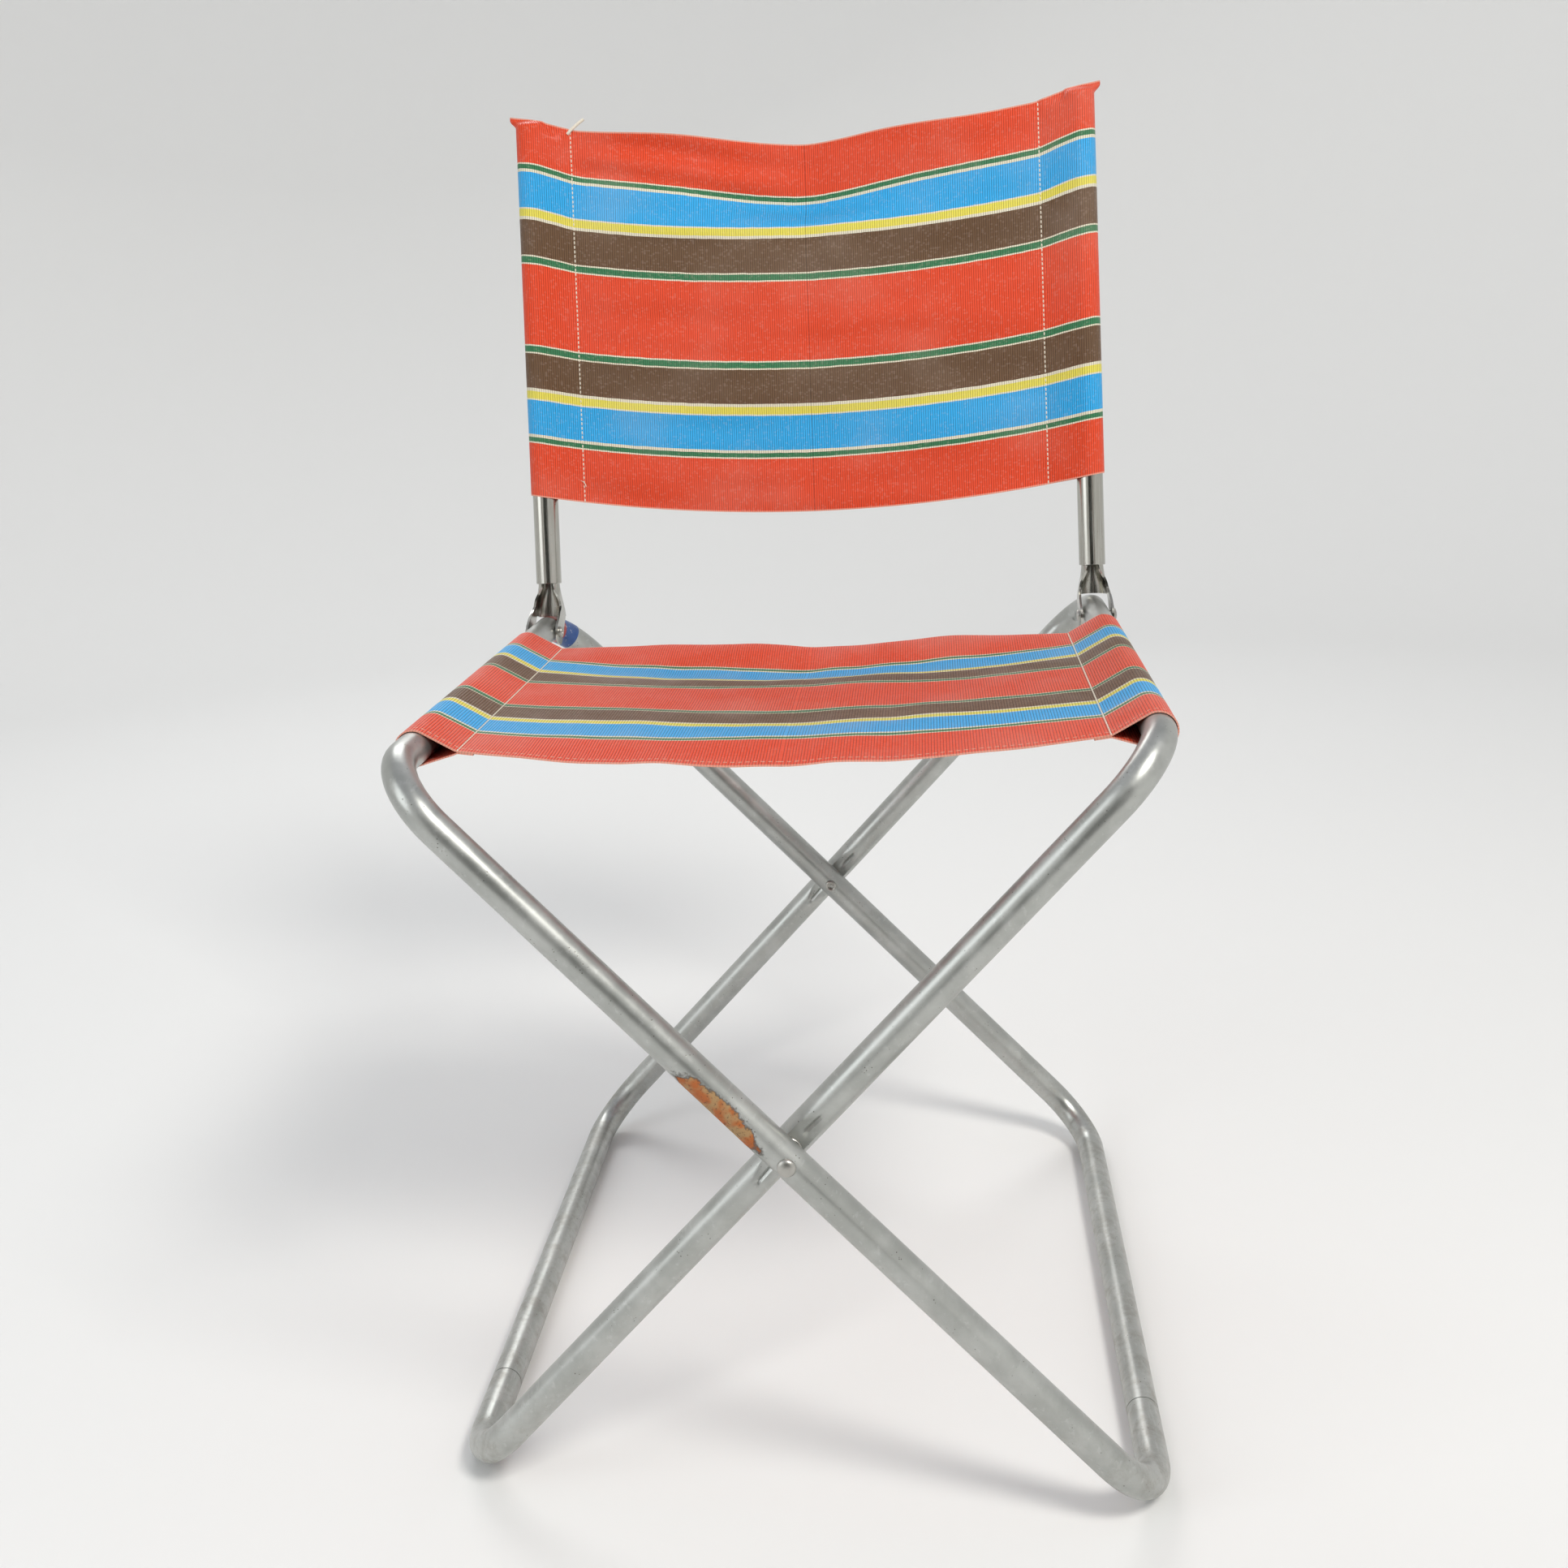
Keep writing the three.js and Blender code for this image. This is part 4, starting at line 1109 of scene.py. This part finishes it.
def make_thread_end(name, points, radius, body):
    """A loose end of thread through a list of points."""
    bm = bmesh.new()
    start, after = Vector(points[0]), Vector(points[1])
    turn = (after - start).to_track_quat("Z", "Y").to_matrix().to_4x4()
    bmesh.ops.create_circle(bm, segments=8, radius=radius, cap_ends=True,
                            matrix=Matrix.Translation(start) @ turn)
    ring = list(bm.edges)
    for before, place in zip(points, points[1:]):
        ring = lengthen(bm, ring, Vector(place) - Vector(before))
    bmesh.ops.contextual_create(bm, geom=ring)
    bmesh.ops.recalc_face_normals(bm, faces=bm.faces)
    end = to_piece(bm, name, THREAD, 80.0)
    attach(end, body)
    return end


def make_thread_ends():
    """The tail left at the top of the left back seam and the loose curl at its foot."""
    matrix = post_matrix("left")
    front = BACK_BELLY * 0.3
    top = BACK_START + CLOTH_WIDTH - 0.0065
    tail = [matrix @ Vector((BACK_SEAM + dx, front - 0.002, top + dz))
            for dx, dz in ((-0.002, -0.004), (0.001, -0.001), (0.006, 0.003), (0.011, 0.0065))]
    make_thread_end("left_back_thread_tail", tail, 0.0012, "left_post")
    low = BACK_START + 0.006
    centre = Vector((BACK_SEAM - 0.004, front - 0.0016, low + 0.004))
    curl = []
    for i in range(25):
        turn = 5.2 * i / 24
        reach = 0.0055 - 0.0025 * i / 24
        curl.append(matrix @ (centre + reach * Vector((math.cos(turn), 0.0, math.sin(turn)))))
    make_thread_end("left_back_thread_curl", curl, 0.0003, "left_post")


# Studio -------------------------------------------------------------------------------------------

def make_floor():
    """A pale floor that turns up into a round wall."""
    shell, corner, wall = 3.2, 0.9, 3.4
    rise = arc(corner, (shell - corner, corner), -math.pi / 2, 0.0, 12)
    profile = [(0.0, 0.0), (0.6, 0.0), (1.4, 0.0)] + rise + [(shell, wall)]
    bm = turn_profile(profile, Matrix.Identity(4), steps=96)
    bmesh.ops.reverse_faces(bm, faces=bm.faces)
    material, _, _ = new_material("pale floor", Base_Color=(0.80, 0.80, 0.79, 1.0), Roughness=0.85)
    floor = to_piece(bm, "studio_floor", material, 180.0)


def make_dark_card():
    """A dark sheet behind the camera that only reflections see, so that the tubes have contrast."""
    bm = bmesh.new()
    place = Matrix.Translation((0.1, -1.9, 0.55)) @ Matrix.Rotation(math.pi / 2, 4, "X")
    grow = Matrix.Diagonal((0.75, 0.80, 1.0, 1.0))
    bmesh.ops.create_grid(bm, x_segments=1, y_segments=1, size=1.0, matrix=place @ grow)
    material, _, _ = new_material("dark card", Base_Color=(0.03, 0.035, 0.03, 1.0), Roughness=1.0)
    card = to_piece(bm, "studio_dark_card", material)
    card.visible_camera = False
    card.visible_shadow = False
    card.visible_diffuse = False


def add_light(name, place, target, size, power, shade=(1.0, 1.0, 1.0)):
    data = bpy.data.lights.new(name, "AREA")
    data.shape = "RECTANGLE"
    data.size, data.size_y = size
    data.energy = power
    data.color = shade
    light = bpy.data.objects.new(name, data)
    light.location = place
    light.rotation_mode = "QUATERNION"
    light.rotation_quaternion = (Vector(target) - Vector(place)).to_track_quat("-Z", "Y")
    scene.collection.objects.link(light)


def make_studio():
    make_floor()
    make_dark_card()
    world = bpy.data.worlds.new("studio")
    world.use_nodes = True
    world.node_tree.nodes["Background"].inputs["Color"].default_value = (0.90, 0.93, 1.0, 1.0)
    world.node_tree.nodes["Background"].inputs["Strength"].default_value = 0.48
    scene.world = world
    target = (0.0, 0.0, 0.35)
    add_light("key", (1.3, -1.5, 2.6), target, (0.8, 0.8), 54.0, (1.0, 0.97, 0.92))
    add_light("fill", (-2.0, -1.3, 1.4), target, (1.2, 1.6), 12.0, (0.93, 0.97, 1.0))
    add_light("rear", (-0.8, 2.0, 2.2), target, (1.4, 0.7), 20.0)
    scene.view_settings.view_transform = "Standard"


def make_camera():
    """The camera, aimed by its turns about the vertical, its own side axis and its line of sight."""
    yaw, pitch, roll = -0.1049, 0.1841, -0.0509
    ahead = Vector((math.sin(yaw) * math.cos(pitch), math.cos(yaw) * math.cos(pitch), -math.sin(pitch)))
    level = Vector((math.cos(yaw), -math.sin(yaw), 0.0))
    above = level.cross(ahead)
    right = math.cos(roll) * level + math.sin(roll) * above
    up = -math.sin(roll) * level + math.cos(roll) * above
    data = bpy.data.cameras.new("camera")
    data.sensor_width = 36.0
    data.lens = 39.37
    data.shift_x = 0.0174
    data.shift_y = -0.1013
    camera = bpy.data.objects.new("camera", data)
    turn = Matrix((right, up, -ahead)).transposed().to_4x4()
    camera.matrix_world = Matrix.Translation((0.0868, -1.0794, 0.6648)) @ turn
    scene.collection.objects.link(camera)
    scene.camera = camera


# Chair --------------------------------------------------------------------------------------------

def finish_plain_piece(node, material):
    """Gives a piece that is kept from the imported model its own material."""
    materials = frame["nodes"][node].data.materials
    materials.clear()
    materials.append(material)


make_camera()
loops = {name: make_loop(name, side) for name, side in SIDES.items()}
make_corner_band()
make_pivots()
for name, side in SIDES.items():
    post_tube = make_post_tube(name)
    make_clevis(name)
    make_hinge_rivet(name, side)
    make_seat_half(name, side)
    make_back_half(name, side)
    finish_plain_piece(f"{name}_post_cap", CAP)
    finish_plain_piece(f"{name}_frame_ferrule", PLATED)
make_thread_ends()
make_studio()
